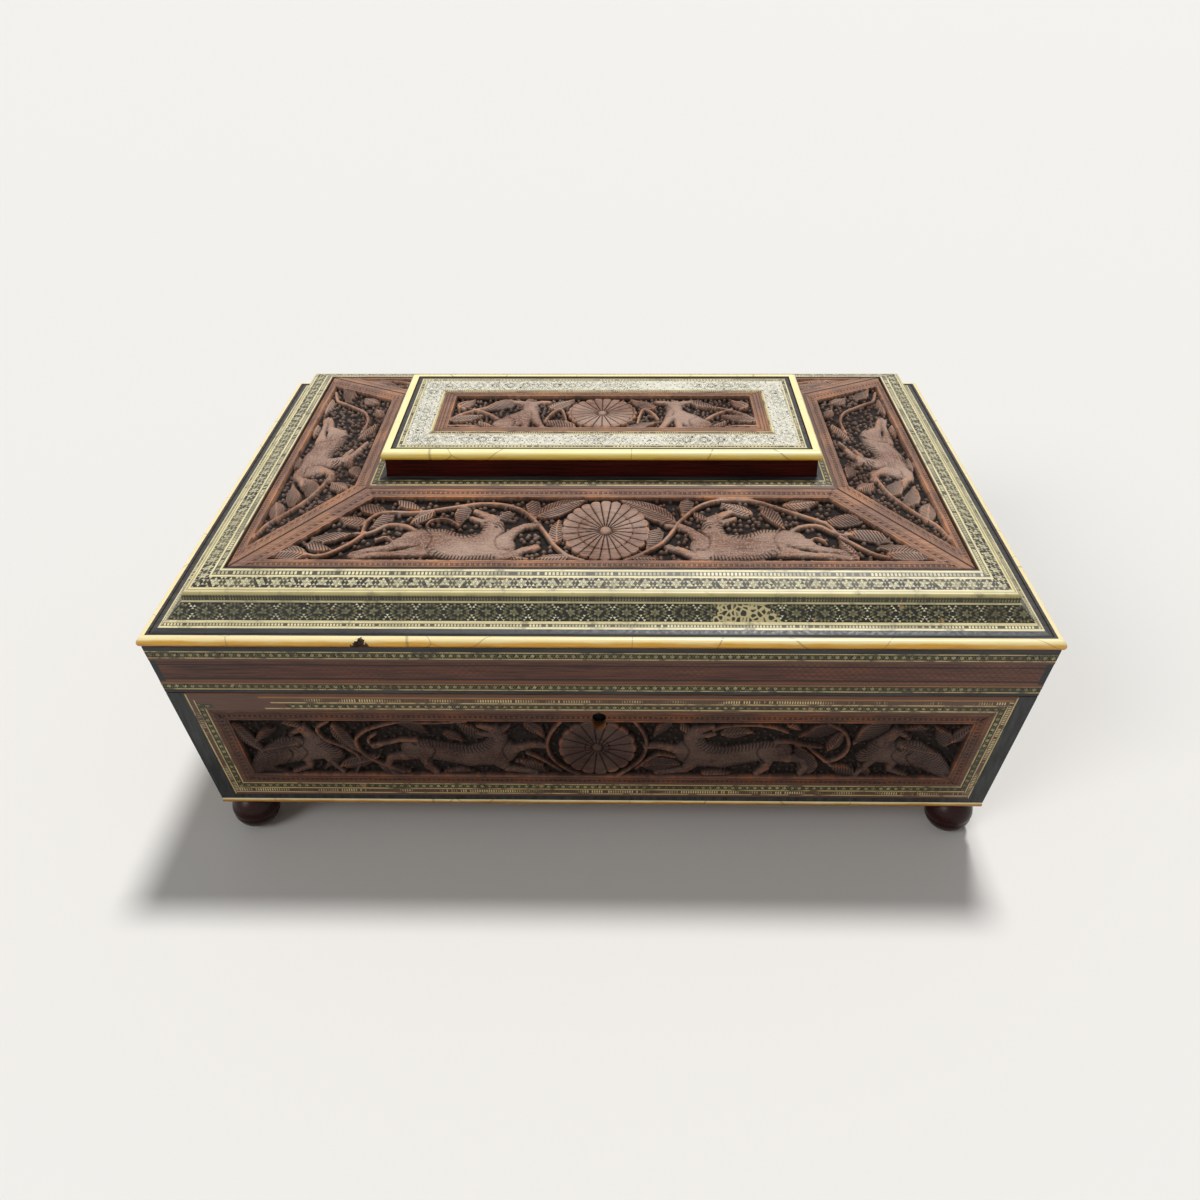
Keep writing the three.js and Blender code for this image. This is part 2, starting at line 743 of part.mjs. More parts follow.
const selvedgeScrews = (z, way, extra) => [-selvedgeScrewX, selvedgeScrewX].map(
  (x) => screw(x, selvedgeScrewY, z, way, extra),
);

for (const side of sides) {
  const parent = sideGroup[side.name];
  let wall = baseWall(side);
  let panel = carvedBasePanel(side);
  let border = sadeliBorder(side);
  if (side === front) {
    wall = cut(wall, [
      keyholeCut,
      lockMortise,
      selvedgeRoom(seamZ - leafThickness - glueGap, seamZ + 2),
      ...selvedgeScrews(seamZ, 1, glueGap),
    ]);
    panel = panel.subtract(keyholeCut);
    border = border.subtract(keyholeCut);
  }
  if (side === back) {
    const pilots = hingeScrewSpots().map((x) => screw(x, hingeScrewY, seamZ, 1, glueGap));
    wall = cut(wall, [...lowerHingeRoom, ...pilots]);
    border = cut(border, lowerHingeRoom);
  }
  place(`base_${side.name}_wall`, wall, plainSandalwood, parent);
  place(`base_${side.name}_carved_panel`, panel, sandalwood, parent);
  place(`base_${side.name}_mosaic_border`, border, sadeli, parent);
}
place('base_horn_edging', hornEdging(), horn);
place('base_bone_edging', mitredRing(beadSection(
  faceInset(footHeight) - 0.3,
  baseBeadDepth,
  baseBeadHeight - mitreGap,
  footHeight,
  0.6,
)), bone);

// Lid skirt: solid rails with two inlaid bands, and a plain incised band between them
const upperInlayZ = lidEdgeZ - skirtUpperInlayHeight;
const lowerInlayZ = skirtZ + skirtLowerInlayHeight;

function lidRail(side) {
  const rebate = veneer + glueGap;
  return mitredStrip([
    [faceInset(skirtZ) + rebate, skirtZ],
    [wallInner(skirtZ), skirtZ],
    [wallInner(lidEdgeZ), lidEdgeZ],
    [faceInset(lidEdgeZ) + rebate, lidEdgeZ],
    [faceInset(upperInlayZ) + rebate, upperInlayZ],
    [faceInset(upperInlayZ), upperInlayZ],
    [faceInset(lowerInlayZ), lowerInlayZ],
    [faceInset(lowerInlayZ) + rebate, lowerInlayZ],
  ], side);
}

function skirtInlay(z0, z1) {
  return mitredRing([
    [faceInset(z0), z0],
    [faceInset(z0) + veneer, z0],
    [faceInset(z1) + veneer, z1],
    [faceInset(z1), z1],
  ]);
}

// Cornice: the mosaic moulding with a 45-degree ramp and a rounded step
function corniceSection() {
  const z = (rise) => lidEdgeZ + rise;
  const back = lidBeadDepth + glueGap;
  const ledgeInset = corniceTopInset + corniceLedge;
  const seat = (inset) => slopeZ(inset) - slopeThickness - glueGap;
  const round = Array.from({ length: 4 }, (_, i) => {
    const angle = (Math.PI / 2) * (i / 3);
    const run = corniceStepRound * (1 - Math.cos(angle));
    return [corniceStepInset + run, z(corniceStepTopRise - corniceStepRound * (1 - Math.sin(angle)))];
  });
  return [
    [back, z(0)],
    [wallInner(lidEdgeZ), z(0)],
    [ledgeInset, seat(ledgeInset) - corniceLedge],
    [ledgeInset, seat(ledgeInset)],
    [corniceTopInset, seat(corniceTopInset)],
    [corniceTopInset, z(corniceTopRise)],
    ...round.reverse(),
    [corniceStepInset, z(corniceStepRise)],
    [corniceRampInset, z(corniceRampRise)],
    [corniceHornInset, z(corniceHornRise)],
    [back, z(lidBeadHeight - mitreGap)],
  ];
}

// Carving of the slopes: a pair of running beasts on the long ones and one beast on the short ones
const runningBeast = [
  [-258, 6], [-202, 7], [-183, 9], [-163, 5], [-131, 2], [-98, 3], [-65, 19], [-65, 27], [-87, 25],
  [-88, 33], [-65, 53], [-65, 62], [-85, 59], [-101, 50], [-103, 66], [-114, 74], [-135, 81],
  [-126, 68], [-139, 65], [-126, 56], [-131, 43], [-147, 42], [-170, 52], [-189, 51], [-206, 41],
  [-222, 25], [-258, 15],
];
const longSlopeFoliage = {
  leaves: [
    [-260, 42, -300, 31, 14], [-304, 8, -348, 7, 22], [-248, 59, -281, 67, 15],
    [-227, 77, -261, 88, 16], [-193, 80, -220, 95, 13], [-178, 76, -202, 57, 14],
    [-150, 55, -145, 86, 14], [-69, 67, -74, 96, 15], [-67, 68, -16, 96, 22], [-31, 5, -67, 4, 14],
    [258, 43, 300, 37, 15], [295, 10, 345, 7, 23], [80, 59, 21, 96, 23], [88, 72, 95, 98, 14],
    [163, 73, 131, 91, 15], [194, 52, 173, 87, 16], [196, 86, 236, 94, 15], [238, 61, 276, 69, 16],
    [33, 4, 62, 4, 12],
  ],
  vines: [
    [[-16, 1], [-47, 25], [-64, 55], [-83, 79], [-114, 90], [-163, 83], [-196, 76], [-229, 76]],
    [[-229, 76], [-250, 59], [-251, 43], [-271, 19], [-297, 8]],
    [[26, 2], [52, 18], [72, 38], [82, 58], [101, 82], [124, 95], [160, 97], [189, 85], [238, 59]],
    [[238, 59], [251, 40], [273, 20], [297, 7]],
    [[-196, 47], [-219, 57], [-238, 46], [-258, 42]],
    [[202, 47], [225, 57], [244, 46], [264, 42]],
  ],
};
const shortSlopeFoliage = {
  leaves: [
    [-147, 56, -121, 79, 15], [-49, 90, -16, 73, 15], [98, 66, 121, 89, 16], [72, 27, 114, 46, 18],
    [82, 14, 131, 30, 16], [121, 6, 167, 19, 18], [-202, 14, -160, 33, 16], [-98, 82, -72, 93, 12],
    [91, 95, 62, 84, 14], [-170, 5, -124, 5, 11],
  ],
  vines: [
    [[-196, 4], [-163, 14], [-124, 46], [-98, 66], [-65, 76], [-33, 74]],
    [[65, 59], [114, 50], [157, 20], [196, 0]],
  ],
};
const longSlopeBeasts = [runningBeast, turnedRound(runningBeast, 6)];
const shortSlopeBeasts = [moved(runningBeast, 150, 4)];

function slopeForms(side, field, placement) {
  if (side.faced) return carvedForms(field, longSlopeBeasts, longSlopeFoliage, placement);
  const forms = carvedForms(field, shortSlopeBeasts, shortSlopeFoliage, placement);
  return side.name === 'right' ? forms.mirror([1, 0, 0]) : forms;
}

// Lid slopes: carved boards mitred along the hips
function lidSlope(side) {
  const to = plinthInset - glueGap;
  const slab = mitredStrip([
    [slopeStartInset, slopeStartZ - slopeThickness],
    [to, slopeZ(to) - slopeThickness],
    [to, slopeZ(to)],
    [slopeStartInset, slopeStartZ],
  ], side);
  const placement = slopePlacement(side);
  const field = slopeOutline(
    side,
    slopeStartInset + slopeFrameOuter,
    plinthInset - plinthMarginWidth - slopeFrameInner,
    slopeFrameHip,
  );
  const middle = (field[0][1] + field[2][1]) / 2;
  const carved = slab.subtract(board(field, -1, reliefDepth, placement))
    .add(slopeForms(side, field, placement));
  if (!side.faced) return carved;
  return carved.add(rosette(slopeRosetteRadius, slopeRosettePetals, middle, placement));
}

for (const side of sides) {
  const parent = sideGroup[side.name];
  let rail = lidRail(side);
  if (side === front) {
    rail = cut(rail, [
      selvedgeRoom(skirtZ - 2, skirtZ + leafThickness + glueGap),
      ...selvedgeScrews(skirtZ, -1, glueGap),
    ]);
  }
  if (side === back) {
    const pilots = hingeScrewSpots().map((x) => screw(x, hingeScrewY, skirtZ, -1, glueGap));
    rail = cut(rail, [...upperHingeRoom, ...pilots]);
  }
  place(`lid_${side.name}_rail`, rail, sandalwood, parent);
  place(`lid_${side.name}_carved_slope`, lidSlope(side), sandalwood, parent);
}
place('skirt_upper_mosaic_band', skirtInlay(upperInlayZ + mitreGap, lidEdgeZ - mitreGap), sadeli);
place('skirt_lower_mosaic_band', cut(
  skirtInlay(skirtZ, lowerInlayZ - mitreGap),
  upperHingeRoom.map((room) => turnedToSide(room, back)),
), sadeli);
place('lid_mosaic_cornice', mitredRing(corniceSection()), sadeli);
place('lid_bone_edging', mitredRing(beadSection(0, lidBeadDepth, lidBeadHeight, lidEdgeZ, 1.5)), bone);

// Plinth on top of the lid: block, carved panel, mosaic border and bone edging
const plinthX = lidWidth / 2 - plinthInset;
const plinthY = lidDepth / 2 - plinthInset;
const plinthFlatZ = plinthTopZ - plinthFlatBelow;
const plinthLedgeZ = plinthTopZ - plinthBeadHeight;
const plinthFootZ = slopeZ(plinthInset) - slopeThickness;
const plinthPlateX = plinthX + plinthBeadProud - plinthBeadDepth - glueGap;
const plinthPlateY = plinthY + plinthBeadProud - plinthBeadDepth - glueGap;
const plinthPanelX = plinthPlateX - plinthSadeliX + plinthBeadProud;
const plinthPanelY = plinthPlateY - plinthSadeliY + plinthBeadProud;
const rectangle = (x, y) => [[-x, -y], [x, -y], [x, y], [-x, y]];
const plinthFrame = new THREE.Matrix4().makeRotationX(-Math.PI / 2).setPosition(0, 0, plinthFlatZ);

const plinthLower = block(-plinthX, plinthX, -plinthY, plinthY, plinthFootZ, plinthLedgeZ);
const plinthUpper = block(
  -plinthPlateX,
  plinthPlateX,
  -plinthPlateY,
  plinthPlateY,
  plinthLedgeZ - 1,
  plinthFlatZ - veneer,
);
const plinthPocket = board(
  rectangle(plinthPanelX + glueGap, plinthPanelY + glueGap),
  -1,
  panelThickness + glueGap,
  plinthFrame,
);
place('plinth_block', plinthLower.add(plinthUpper).subtract(plinthPocket), rosewood);

const plinthField = rectangle(plinthPanelX - plinthFrameX, plinthPanelY - plinthFrameY);
const plinthPanel = board(
  rectangle(plinthPanelX - mitreGap, plinthPanelY - mitreGap),
  0,
  panelThickness,
  plinthFrame,
).subtract(board(plinthField, -1, reliefDepth, plinthFrame));
const plinthRosetteRadius = plinthPanelY - plinthFrameY - plinthRosetteRoom;
const plinthFlower = rosette(plinthRosetteRadius, plinthRosettePetals, 0, plinthFrame);
const seatedBeast = [
  [-139, 21], [-134, 34], [-121, 46], [-111, 58], [-105, 68], [-106, 76], [-119, 84], [-118, 89],
  [-102, 88], [-91, 87], [-69, 88], [-70, 83], [-84, 79], [-81, 64], [-80, 46], [-79, 34], [-73, 18],
  [-68, 2], [-78, 1], [-87, 18], [-92, 21], [-91, 2], [-129, 1], [-139, 9],
];
const plinthFoliage = {
  leaves: [
    [-187, 62, -168, 91, 16], [-155, 62, -117, 91, 19], [-197, 26, -152, 41, 19],
    [-69, 61, -37, 91, 19], [-73, 23, -34, 4, 18],
  ],
  vines: [
    [[-134, 31], [-143, 43], [-155, 54], [-168, 61]],
    [[-196, 9], [-171, 9], [-156, 6]],
    [[-196, 21], [-186, 41], [-166, 58], [-150, 66]],
  ],
};
const plinthForms = carvedForms(plinthField, [seatedBeast], plinthFoliage, plinthFrame);
place('plinth_carved_panel', join([
  plinthPanel,
  plinthFlower,
  plinthForms,
  plinthForms.mirror([1, 0, 0]),
]), sandalwood);
place('plinth_mosaic_border', pictureFrame(
  rectangle(plinthPlateX, plinthPlateY),
  rectangle(plinthPanelX, plinthPanelY),
  veneer - 0.1,
  plinthFrame,
), sadeli);
place('plinth_bone_edging', mitredRing(beadSection(
  plinthInset - plinthBeadProud,
  plinthBeadDepth,
  plinthBeadHeight - 0.1,
  plinthLedgeZ + 0.1,
  1.3,
)), bone);

// Butt hinges, made in the frame of the back side
function hingeLeaf(x, lower) {
  const z0 = lower ? seamZ - leafThickness : skirtZ;
  const z1 = lower ? seamZ : skirtZ + leafThickness;
  const pitch = hingeLength / hingeKnuckles;
  const pieces = [block(x - hingeLength / 2, x + hingeLength / 2, leafFrom, leafTo, z0, z1)];
  for (let i = lower ? 0 : 1; i < hingeKnuckles; i += 2) {
    const from = x - hingeLength / 2 + i * pitch + runningGap / 2;
    const to = from + pitch - runningGap;
    pieces.push(rodAlongX(from, to, hingeAxisY, hingeAxisZ, knuckleRadius));
    pieces.push(block(from, to, hingeAxisY + hingePinRadius, leafFrom + 0.5, z0, z1));
  }
  const bore = rodAlongX(
    x - hingeLength,
    x + hingeLength,
    hingeAxisY,
    hingeAxisZ,
    hingePinRadius + runningGap,
  );
  const way = lower ? 1 : -1;
  const holes = hingeScrewXs.map((dx) => screw(x + dx, hingeScrewY, lower ? z1 : z0, way, 0.25));
  return cut(join(pieces), [bore, ...holes]);
}

const backGroup = sideGroup.back;
[['right', hingeCentres[0]], ['left', hingeCentres[1]]].forEach(([hand, x]) => {
  const hinge = `hinge_${hand}`;
  const halfPin = hingeLength / 2 - mitreGap;
  const pin = rodAlongX(x - halfPin, x + halfPin, hingeAxisY, hingeAxisZ, hingePinRadius);
  place(`${hinge}_lower_leaf`, hingeLeaf(x, true), brass, backGroup);
  place(`${hinge}_upper_leaf`, hingeLeaf(x, false), brass, backGroup);
  place(`${hinge}_pin`, pin, steel, backGroup);
  hingeScrewXs.forEach((dx, i) => {
    place(`${hinge}_lower_screw_${i + 1}`, screw(x + dx, hingeScrewY, seamZ), brass, backGroup);
    place(`${hinge}_upper_screw_${i + 1}`, screw(x + dx, hingeScrewY, skirtZ, -1), brass, backGroup);
  });
});

// Lock in the front wall: case with selvedge, cap, bolt, and a link plate on the lid
const selvedge = block(
  -selvedgeLength / 2,
  selvedgeLength / 2,
  selvedgeFrom,
  selvedgeTo,
  seamZ - leafThickness,
  seamZ,
);
const stapleSlots = stapleXs.map((x) => block(
  x - stapleLength / 2 - stapleRoom,
  x + stapleLength / 2 + stapleRoom,
  stapleY - stapleWidth / 2 - stapleRoom,
  stapleY + stapleWidth / 2 + stapleRoom,
  seamZ - stapleSlotDepth,
  seamZ + 1,
));
const caseTopRoom = block(-lockWidth, lockWidth, -lidDepth, 0, seamZ, skirtZ + skirtHeight);
const capFrom = lockInner - lockCapThickness;
const lockCavity = board(
  drawnIn(lockBody, lockWall),
  lockOuter + lockWall,
  lockInner + 1,
  lockPlacement,
);
const lockKeyhole = keyhole(-1, lockOuter + lockWall + 1, frontFrame);
const lockCase = cut(
  board(lockBody, lockOuter, capFrom - mitreGap, lockPlacement),
  [lockCavity, caseTopRoom],
).add(selvedge.subtract(board(lockBody, capFrom - mitreGap, lockInner + 2, lockPlacement)));
place('lock_case', cut(lockCase, [
  ...stapleSlots,
  lockKeyhole,
  ...selvedgeScrews(seamZ, 1, 0.25),
]), steel, sideGroup.front);
const lockCap = board(drawnIn(lockBody, glueGap), capFrom, lockInner, lockPlacement);
place('lock_cap', lockCap, steel, sideGroup.front);
selvedgeScrews(seamZ, 1, 0).forEach((made, i) => {
  place(`lock_screw_${i + 1}`, made, steel, sideGroup.front);
});

// The bolt's two tongues stand clear of the staples at rest and shoot through their eyes
function lockBolt() {
  const barTop = -lockDrop(stapleDrop + 2 * runningGap);
  const barLeft = -lockWidth / 2 + lockEndRoom;
  const barRight = lockWidth / 2 - lockEndRoom - boltTravel;
  const barLow = barTop - boltBarHeight;
  const bar = [[barLeft, barLow], [barRight, barLow], [barRight, barTop], [barLeft, barTop]];
  const tongues = stapleXs.flatMap((x) => {
    const tip = x - stapleLength / 2 - boltTipRoom;
    const stem = tip - boltTongueLength;
    const root = stem - boltStemWidth;
    const high = boltTongueHeight / 2 - lockDrop(eyeDepth);
    const low = high - boltTongueHeight;
    return [
      [[root, barTop - 1], [stem, barTop - 1], [stem, high], [root, high]],
      [[stem - 1, low], [tip, low], [tip, high], [stem - 1, high]],
    ];
  });
  const plates = [bar, ...tongues].map((outline) => board(
    outline,
    boltY - boltThickness / 2,
    boltY + boltThickness / 2,
    lockPlacement,
  ));
  const notchTop = barTop - boltNotchTop;
  const notch = [
    [-boltNotchHalf, barLow - 1],
    [boltNotchHalf, barLow - 1],
    [boltNotchHalf, notchTop],
    [-boltNotchHalf, notchTop],
  ];
  return join(plates).subtract(board(notch, boltY - 2, boltY + 2, lockPlacement));
}
place('lock_bolt', lockBolt(), steel, sideGroup.front);

const linkPlate = join([
  block(-selvedgeLength / 2, selvedgeLength / 2, selvedgeFrom, selvedgeTo, skirtZ, skirtZ + leafThickness),
  ...stapleXs.map((x) => block(
    x - stapleLength / 2,
    x + stapleLength / 2,
    stapleY - stapleWidth / 2,
    stapleY + stapleWidth / 2,
    seamZ - stapleDrop,
    skirtZ + 0.5,
  )),
]);
const stapleEyes = stapleXs.map((x) => block(
  x - stapleLength,
  x + stapleLength,
  stapleY - stapleEyeWidth / 2,
  stapleY + stapleEyeWidth / 2,
  seamZ - stapleEyeTop - stapleEyeHeight,
  seamZ - stapleEyeTop,
));
const linkPlateCuts = [...stapleEyes, ...selvedgeScrews(skirtZ, -1, 0.25)];
place('link_plate', cut(linkPlate, linkPlateCuts), steel, sideGroup.front);
selvedgeScrews(skirtZ, -1, 0).forEach((made, i) => {
  place(`link_plate_screw_${i + 1}`, made, steel, sideGroup.front);
});

// Tray that lifts out, resting on the ledges of the walls
const trayOuter = (z) => wallInner(z) + trayClearance;
const trayInsideZ = trayFloor + trayBottomThickness;
place('tray_bottom', flaredPlate(trayFloor, trayInsideZ, wallThickness + trayClearance), plainSandalwood);
place('tray_sides', mitredRing([
  [trayOuter(trayInsideZ), trayInsideZ + mitreGap],
  [trayOuter(trayInsideZ) + traySideThickness, trayInsideZ + mitreGap],
  [trayOuter(trayTop) + traySideThickness, trayTop],
  [trayOuter(trayTop), trayTop],
]), plainSandalwood);

// Partitions, halved into each other: two run front to back, and shorter ones divide each bay
function partition(half0, half1, from0, from1, alongX, offset) {
  const z0 = trayFloor + trayBottomThickness;
  const z1 = trayTop - trayPartitionDrop;
  const outline = [[from0, z0], [half0, z0], [half1, z1], [from1, z1]];
  const half = trayPartThickness / 2;
  const placement = new THREE.Matrix4();
  if (alongX) placement.makeTranslation(0, offset, 0);
  else placement.makeRotationZ(Math.PI / 2).setPosition(offset, 0, 0);
  return board(outline, -half, half, placement);
}

function trayPartitions() {
  const z0 = trayFloor + trayBottomThickness;
  const z1 = trayTop - trayPartitionDrop;
  const room = (z, half) => half - trayOuter(z) - traySideThickness - glueGap;
  const deep = [room(z0, lidDepth / 2), room(z1, lidDepth / 2)];
  const wide = [room(z0, lidWidth / 2), room(z1, lidWidth / 2)];
  const bay = trayBayHalf;
  return join([
    ...[-bay, bay].map((x) => partition(deep[0], deep[1], -deep[0], -deep[1], false, x)),
    partition(wide[0], wide[1], bay, bay, true, 0),
    partition(-bay, -bay, -wide[0], -wide[1], true, 0),
    ...[-trayCellHalf, trayCellHalf].map((y) => partition(bay, bay, -bay, -bay, true, y)),
  ]);
}
place('tray_partitions', trayPartitions(), plainSandalwood);

export default box;
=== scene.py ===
"""A sandalwood jewellery box with carved panels, micro-mosaic borders, bone beads and ball feet."""

import json
import math

import bpy
import numpy as np
from mathutils import Matrix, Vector
from mathutils.geometry import tessellate_polygon


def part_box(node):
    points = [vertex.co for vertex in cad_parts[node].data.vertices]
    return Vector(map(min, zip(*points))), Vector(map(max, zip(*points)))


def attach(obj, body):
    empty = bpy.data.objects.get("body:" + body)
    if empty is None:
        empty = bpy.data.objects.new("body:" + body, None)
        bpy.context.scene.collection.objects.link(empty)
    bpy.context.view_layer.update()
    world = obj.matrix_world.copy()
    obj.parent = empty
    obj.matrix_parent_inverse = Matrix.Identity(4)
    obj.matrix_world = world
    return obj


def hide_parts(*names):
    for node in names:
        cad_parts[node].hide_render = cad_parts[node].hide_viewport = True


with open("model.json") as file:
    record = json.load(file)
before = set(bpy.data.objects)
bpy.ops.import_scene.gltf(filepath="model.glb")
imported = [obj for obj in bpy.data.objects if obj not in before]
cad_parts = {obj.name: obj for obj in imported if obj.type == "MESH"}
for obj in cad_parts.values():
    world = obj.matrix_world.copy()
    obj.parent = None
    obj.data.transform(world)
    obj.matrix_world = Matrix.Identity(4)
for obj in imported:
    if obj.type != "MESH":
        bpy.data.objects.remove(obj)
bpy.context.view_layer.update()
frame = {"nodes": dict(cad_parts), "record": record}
nodes = frame["nodes"]
mm = 0.001


def put(name, data):
    """An object with this data, in the scene."""
    made = bpy.data.objects.new(name, data)
    bpy.context.scene.collection.objects.link(made)
    return made


def belong(made, body, slot, *replaced):
    """Says which body a piece moves with and which nodes it stands for; slot is not used."""
    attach(made, body)
    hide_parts(*replaced)


# Viewpoint: the box seen from the front and above, a little left of square, as on a low table.
camera_data = bpy.data.cameras.new("viewpoint")
camera_data.sensor_width = 36
camera_data.lens = 33.03
camera_data.clip_start = 0.01
camera_data.clip_end = 20
camera = put("viewpoint", camera_data)
pitch, yaw, roll = 0.582194848, -0.0202116, -0.00765465
camera_at = (6.1 * mm, -369.8 * mm, 282.5 * mm)
ahead = np.array([math.sin(yaw) * math.cos(pitch), math.cos(yaw) * math.cos(pitch), -math.sin(pitch)])
level = np.array([math.cos(yaw), -math.sin(yaw), 0.0])
above = np.cross(level, ahead)
across = level * math.cos(roll) + above * math.sin(roll)
upward = -level * math.sin(roll) + above * math.cos(roll)
camera.matrix_world = Matrix([*zip(across, upward, -ahead, camera_at), (0, 0, 0, 1)])
bpy.context.scene.camera = camera


# Studio: a pale matt floor, an even pale room, a soft high light from behind the box and a weaker
# one from the front left, so that the top is bright and the carving throws short shadows.
def colour(hexa):
    """Turns an sRGB hex colour to linear."""
    channels = [int(hexa[i:i + 2], 16) / 255 for i in (1, 3, 5)]
    return tuple(c / 12.92 if c <= 0.04045 else ((c + 0.055) / 1.055) ** 2.4 for c in channels) + (1,)


def give(tree, socket, value):
    """Links what a node works out to a socket, or sets the socket to a number, place or hex colour."""
    value = getattr(value, "socket", value)
    if isinstance(value, bpy.types.Node):
        value = value.outputs[0]
    if isinstance(value, bpy.types.NodeSocket):
        tree.links.new(value, socket)
    else:
        socket.default_value = colour(value) if isinstance(value, str) else value


def add(owner, kind, inputs=None, **settings):
    """Adds a node to a material, a world or a tree with its settings, and fills its inputs."""
    tree = getattr(owner, "node_tree", owner)
    plain = kind.startswith(("Geometry", "Function", "NodeGroup"))
    made = tree.nodes.new(kind if plain else "ShaderNode" + kind)
    for key, value in settings.items():
        setattr(made, key, value)
    for key, value in (inputs or {}).items():
        give(tree, made.inputs[key], value)
    return made


class Value:
    """A number, place or colour that a node works out; what is done with it adds the next node."""

    def __init__(self, owner, source):
        self.tree = getattr(owner, "node_tree", owner)
        self.socket = source.outputs[0] if isinstance(source, bpy.types.Node) else source

    def then(self, kind, inputs, **settings):
        return Value(self.tree, add(self.tree, kind, inputs, **settings))

    def maths(self, operation, *others, **settings):
        return self.then("Math", dict(enumerate((self, *others))), operation=operation, **settings)

    def __add__(self, other):
        return self.maths("ADD", other)

    def __sub__(self, other):
        return self.maths("SUBTRACT", other)

    def __mul__(self, other):
        return self.maths("MULTIPLY", other)

    def __abs__(self):
        return self.maths("ABSOLUTE")

    def above(self, other):
        return self.maths("GREATER_THAN", other)

    def below(self, other):
        return self.maths("LESS_THAN", other)

    def ease(self, low, high, to_low=0.0, to_high=1.0):
        """Goes evenly from one value to another while this goes from low to high."""
        return self.then("MapRange", {0: self, 1: low, 2: high, 3: to_low, 4: to_high})

    def blend(self, first, second):
        """A colour as far from the first to the second as this says."""
        return self.then("MixRGB", {0: self, 1: first, 2: second})

    def shade(self, tone):
        """A colour made darker or lighter by this."""
        tone = colour(tone)[:3] if isinstance(tone, str) else tone
        return self.then("VectorMath", {0: tone, "Scale": self}, operation="SCALE")

    def ramp(self, *stops, interpolation="LINEAR"):
        """A colour by this from stops of (position, hex colour)."""
        made = self.then("ValToRGB", {0: self})
        band = made.socket.node.color_ramp
        band.interpolation = interpolation
        for k, (position, tone) in enumerate(stops):
            stop = band.elements[k] if k < 2 else band.elements.new(position)
            stop.position = position
            stop.color = colour(tone)
        return made

    def stretched(self, scale):
        return self.then("Mapping", {"Vector": self, "Scale": scale})

    def noise(self, scale, detail=2.0, roughness=0.5):
        inputs = {"Vector": self, "Scale": scale, "Detail": detail, "Roughness": roughness}
        return self.then("TexNoise", inputs)

    def cells(self, scale, feature="F1"):
        return self.then("TexVoronoi", {"Vector": self, "Scale": scale}, feature=feature)

    def parts(self):
        return [Value(self.tree, part) for part in add(self.tree, "SeparateXYZ", {0: self}).outputs]


bpy.context.scene.view_settings.view_transform = "Standard"
room = bpy.data.worlds.new("pale_room")
room.use_nodes = True
room.node_tree.nodes.clear()
rays = add(room, "LightPath").outputs
seen = Value(room, rays["Is Camera Ray"]).maths("MAXIMUM", rays["Is Glossy Ray"])
light = add(room, "Background", {"Color": "#ffffff", "Strength": 0.22})
backdrop = add(room, "Background", {"Color": "#e9e7e4", "Strength": 1.0})
any_seen = seen.maths("MAXIMUM", rays["Is Transmission Ray"])
add(room, "OutputWorld", {"Surface": any_seen.then("MixShader", {0: any_seen, 1: light, 2: backdrop})})
bpy.context.scene.world = room


def begin(name, height=None):
    """A new material; height is that of a pattern which fills the band it is on."""
    made = bpy.data.materials.new(name)
    made.use_nodes = True
    if height:
        made["height"] = height
    return made


def place_of(made):
    return Value(made, add(made, "TexCoord").outputs["Object"])


def run_of(made):
    """Millimetres along a strip and up it, from its uv map."""
    return Value(made, add(made, "UVMap", uv_map="run"))


def finish(made, tone, rough, bump=None, sheen=0.5, metal=0.0):
    """Fills in a material's shader; bump is a height, its strength and its depth in metres."""
    inputs = made.node_tree.nodes["Principled BSDF"].inputs
    looks = {"Base Color": tone, "Roughness": rough, "Specular IOR Level": sheen, "Metallic": metal}
    if bump:
        looks["Normal"] = add(made, "Bump", dict(zip(("Height", "Strength", "Distance"), bump)))
    for key, value in looks.items():
        give(made.node_tree, inputs[key], value)
    return made


floor_mesh = bpy.data.meshes.new("floor")
floor_mesh.from_pydata([(-4, -4, 0), (4, -4, 0), (4, 4, 0), (-4, 4, 0)], [], [(0, 1, 2, 3)])
floor_mesh.materials.append(finish(begin("pale_floor"), "#dcdad6", 0.9))
put("floor", floor_mesh)

for name, source, power, spread in (
    ("key_light", (0.15, 0.3, 1.0), 2.8, 10),
    ("side_light", (-1.0, -0.9, 0.9), 0.9, 25),
):
    lamp_data = bpy.data.lights.new(name, "SUN")
    lamp_data.energy = power
    lamp_data.angle = math.radians(spread)
    tilt = math.atan2(math.hypot(source[0], source[1]), source[2])
    put(name, lamp_data).rotation_euler = (tilt, 0, math.atan2(source[0], -source[1]))


# Bottom board: plain planed sandalwood, oiled by handling to a warm brown, set between the walls.
# Its grain runs along the box: streaks some 0.6 mm wide and 12 mm long, darker pores between them.
def planed_wood(name, dark, light, rough, grain=(80, 1600, 1600), sheen=0.5):
    """Straight-grained wood; grain gives streaks per metre along X, Y and Z."""
    made = begin(name)
    where = place_of(made)
    streaks = where.stretched(grain).noise(1.0, 5.0, 0.6)
    tone = (where.noise(35.0) * 0.45 + streaks * 0.7).ramp((0.38, dark), (0.74, light))
    return finish(made, tone, streaks * 0.25 + (rough - 0.12), (streaks, 0.25, 0.0002), sheen)


def finish_node(name, material):
    """Gives a piece that keeps its own shape a finish."""
    nodes[name].data.materials.clear()
    nodes[name].data.materials.append(material)


sandalwood_look = ("#5d3a22", "#9a6a43", 0.55)
planed_sandalwood = planed_wood("planed_sandalwood", *sandalwood_look)
planed_sandalwood_across = planed_wood("planed_sandalwood_across", *sandalwood_look, (1600, 80, 1600))
finish_node("bottom_board", planed_sandalwood)


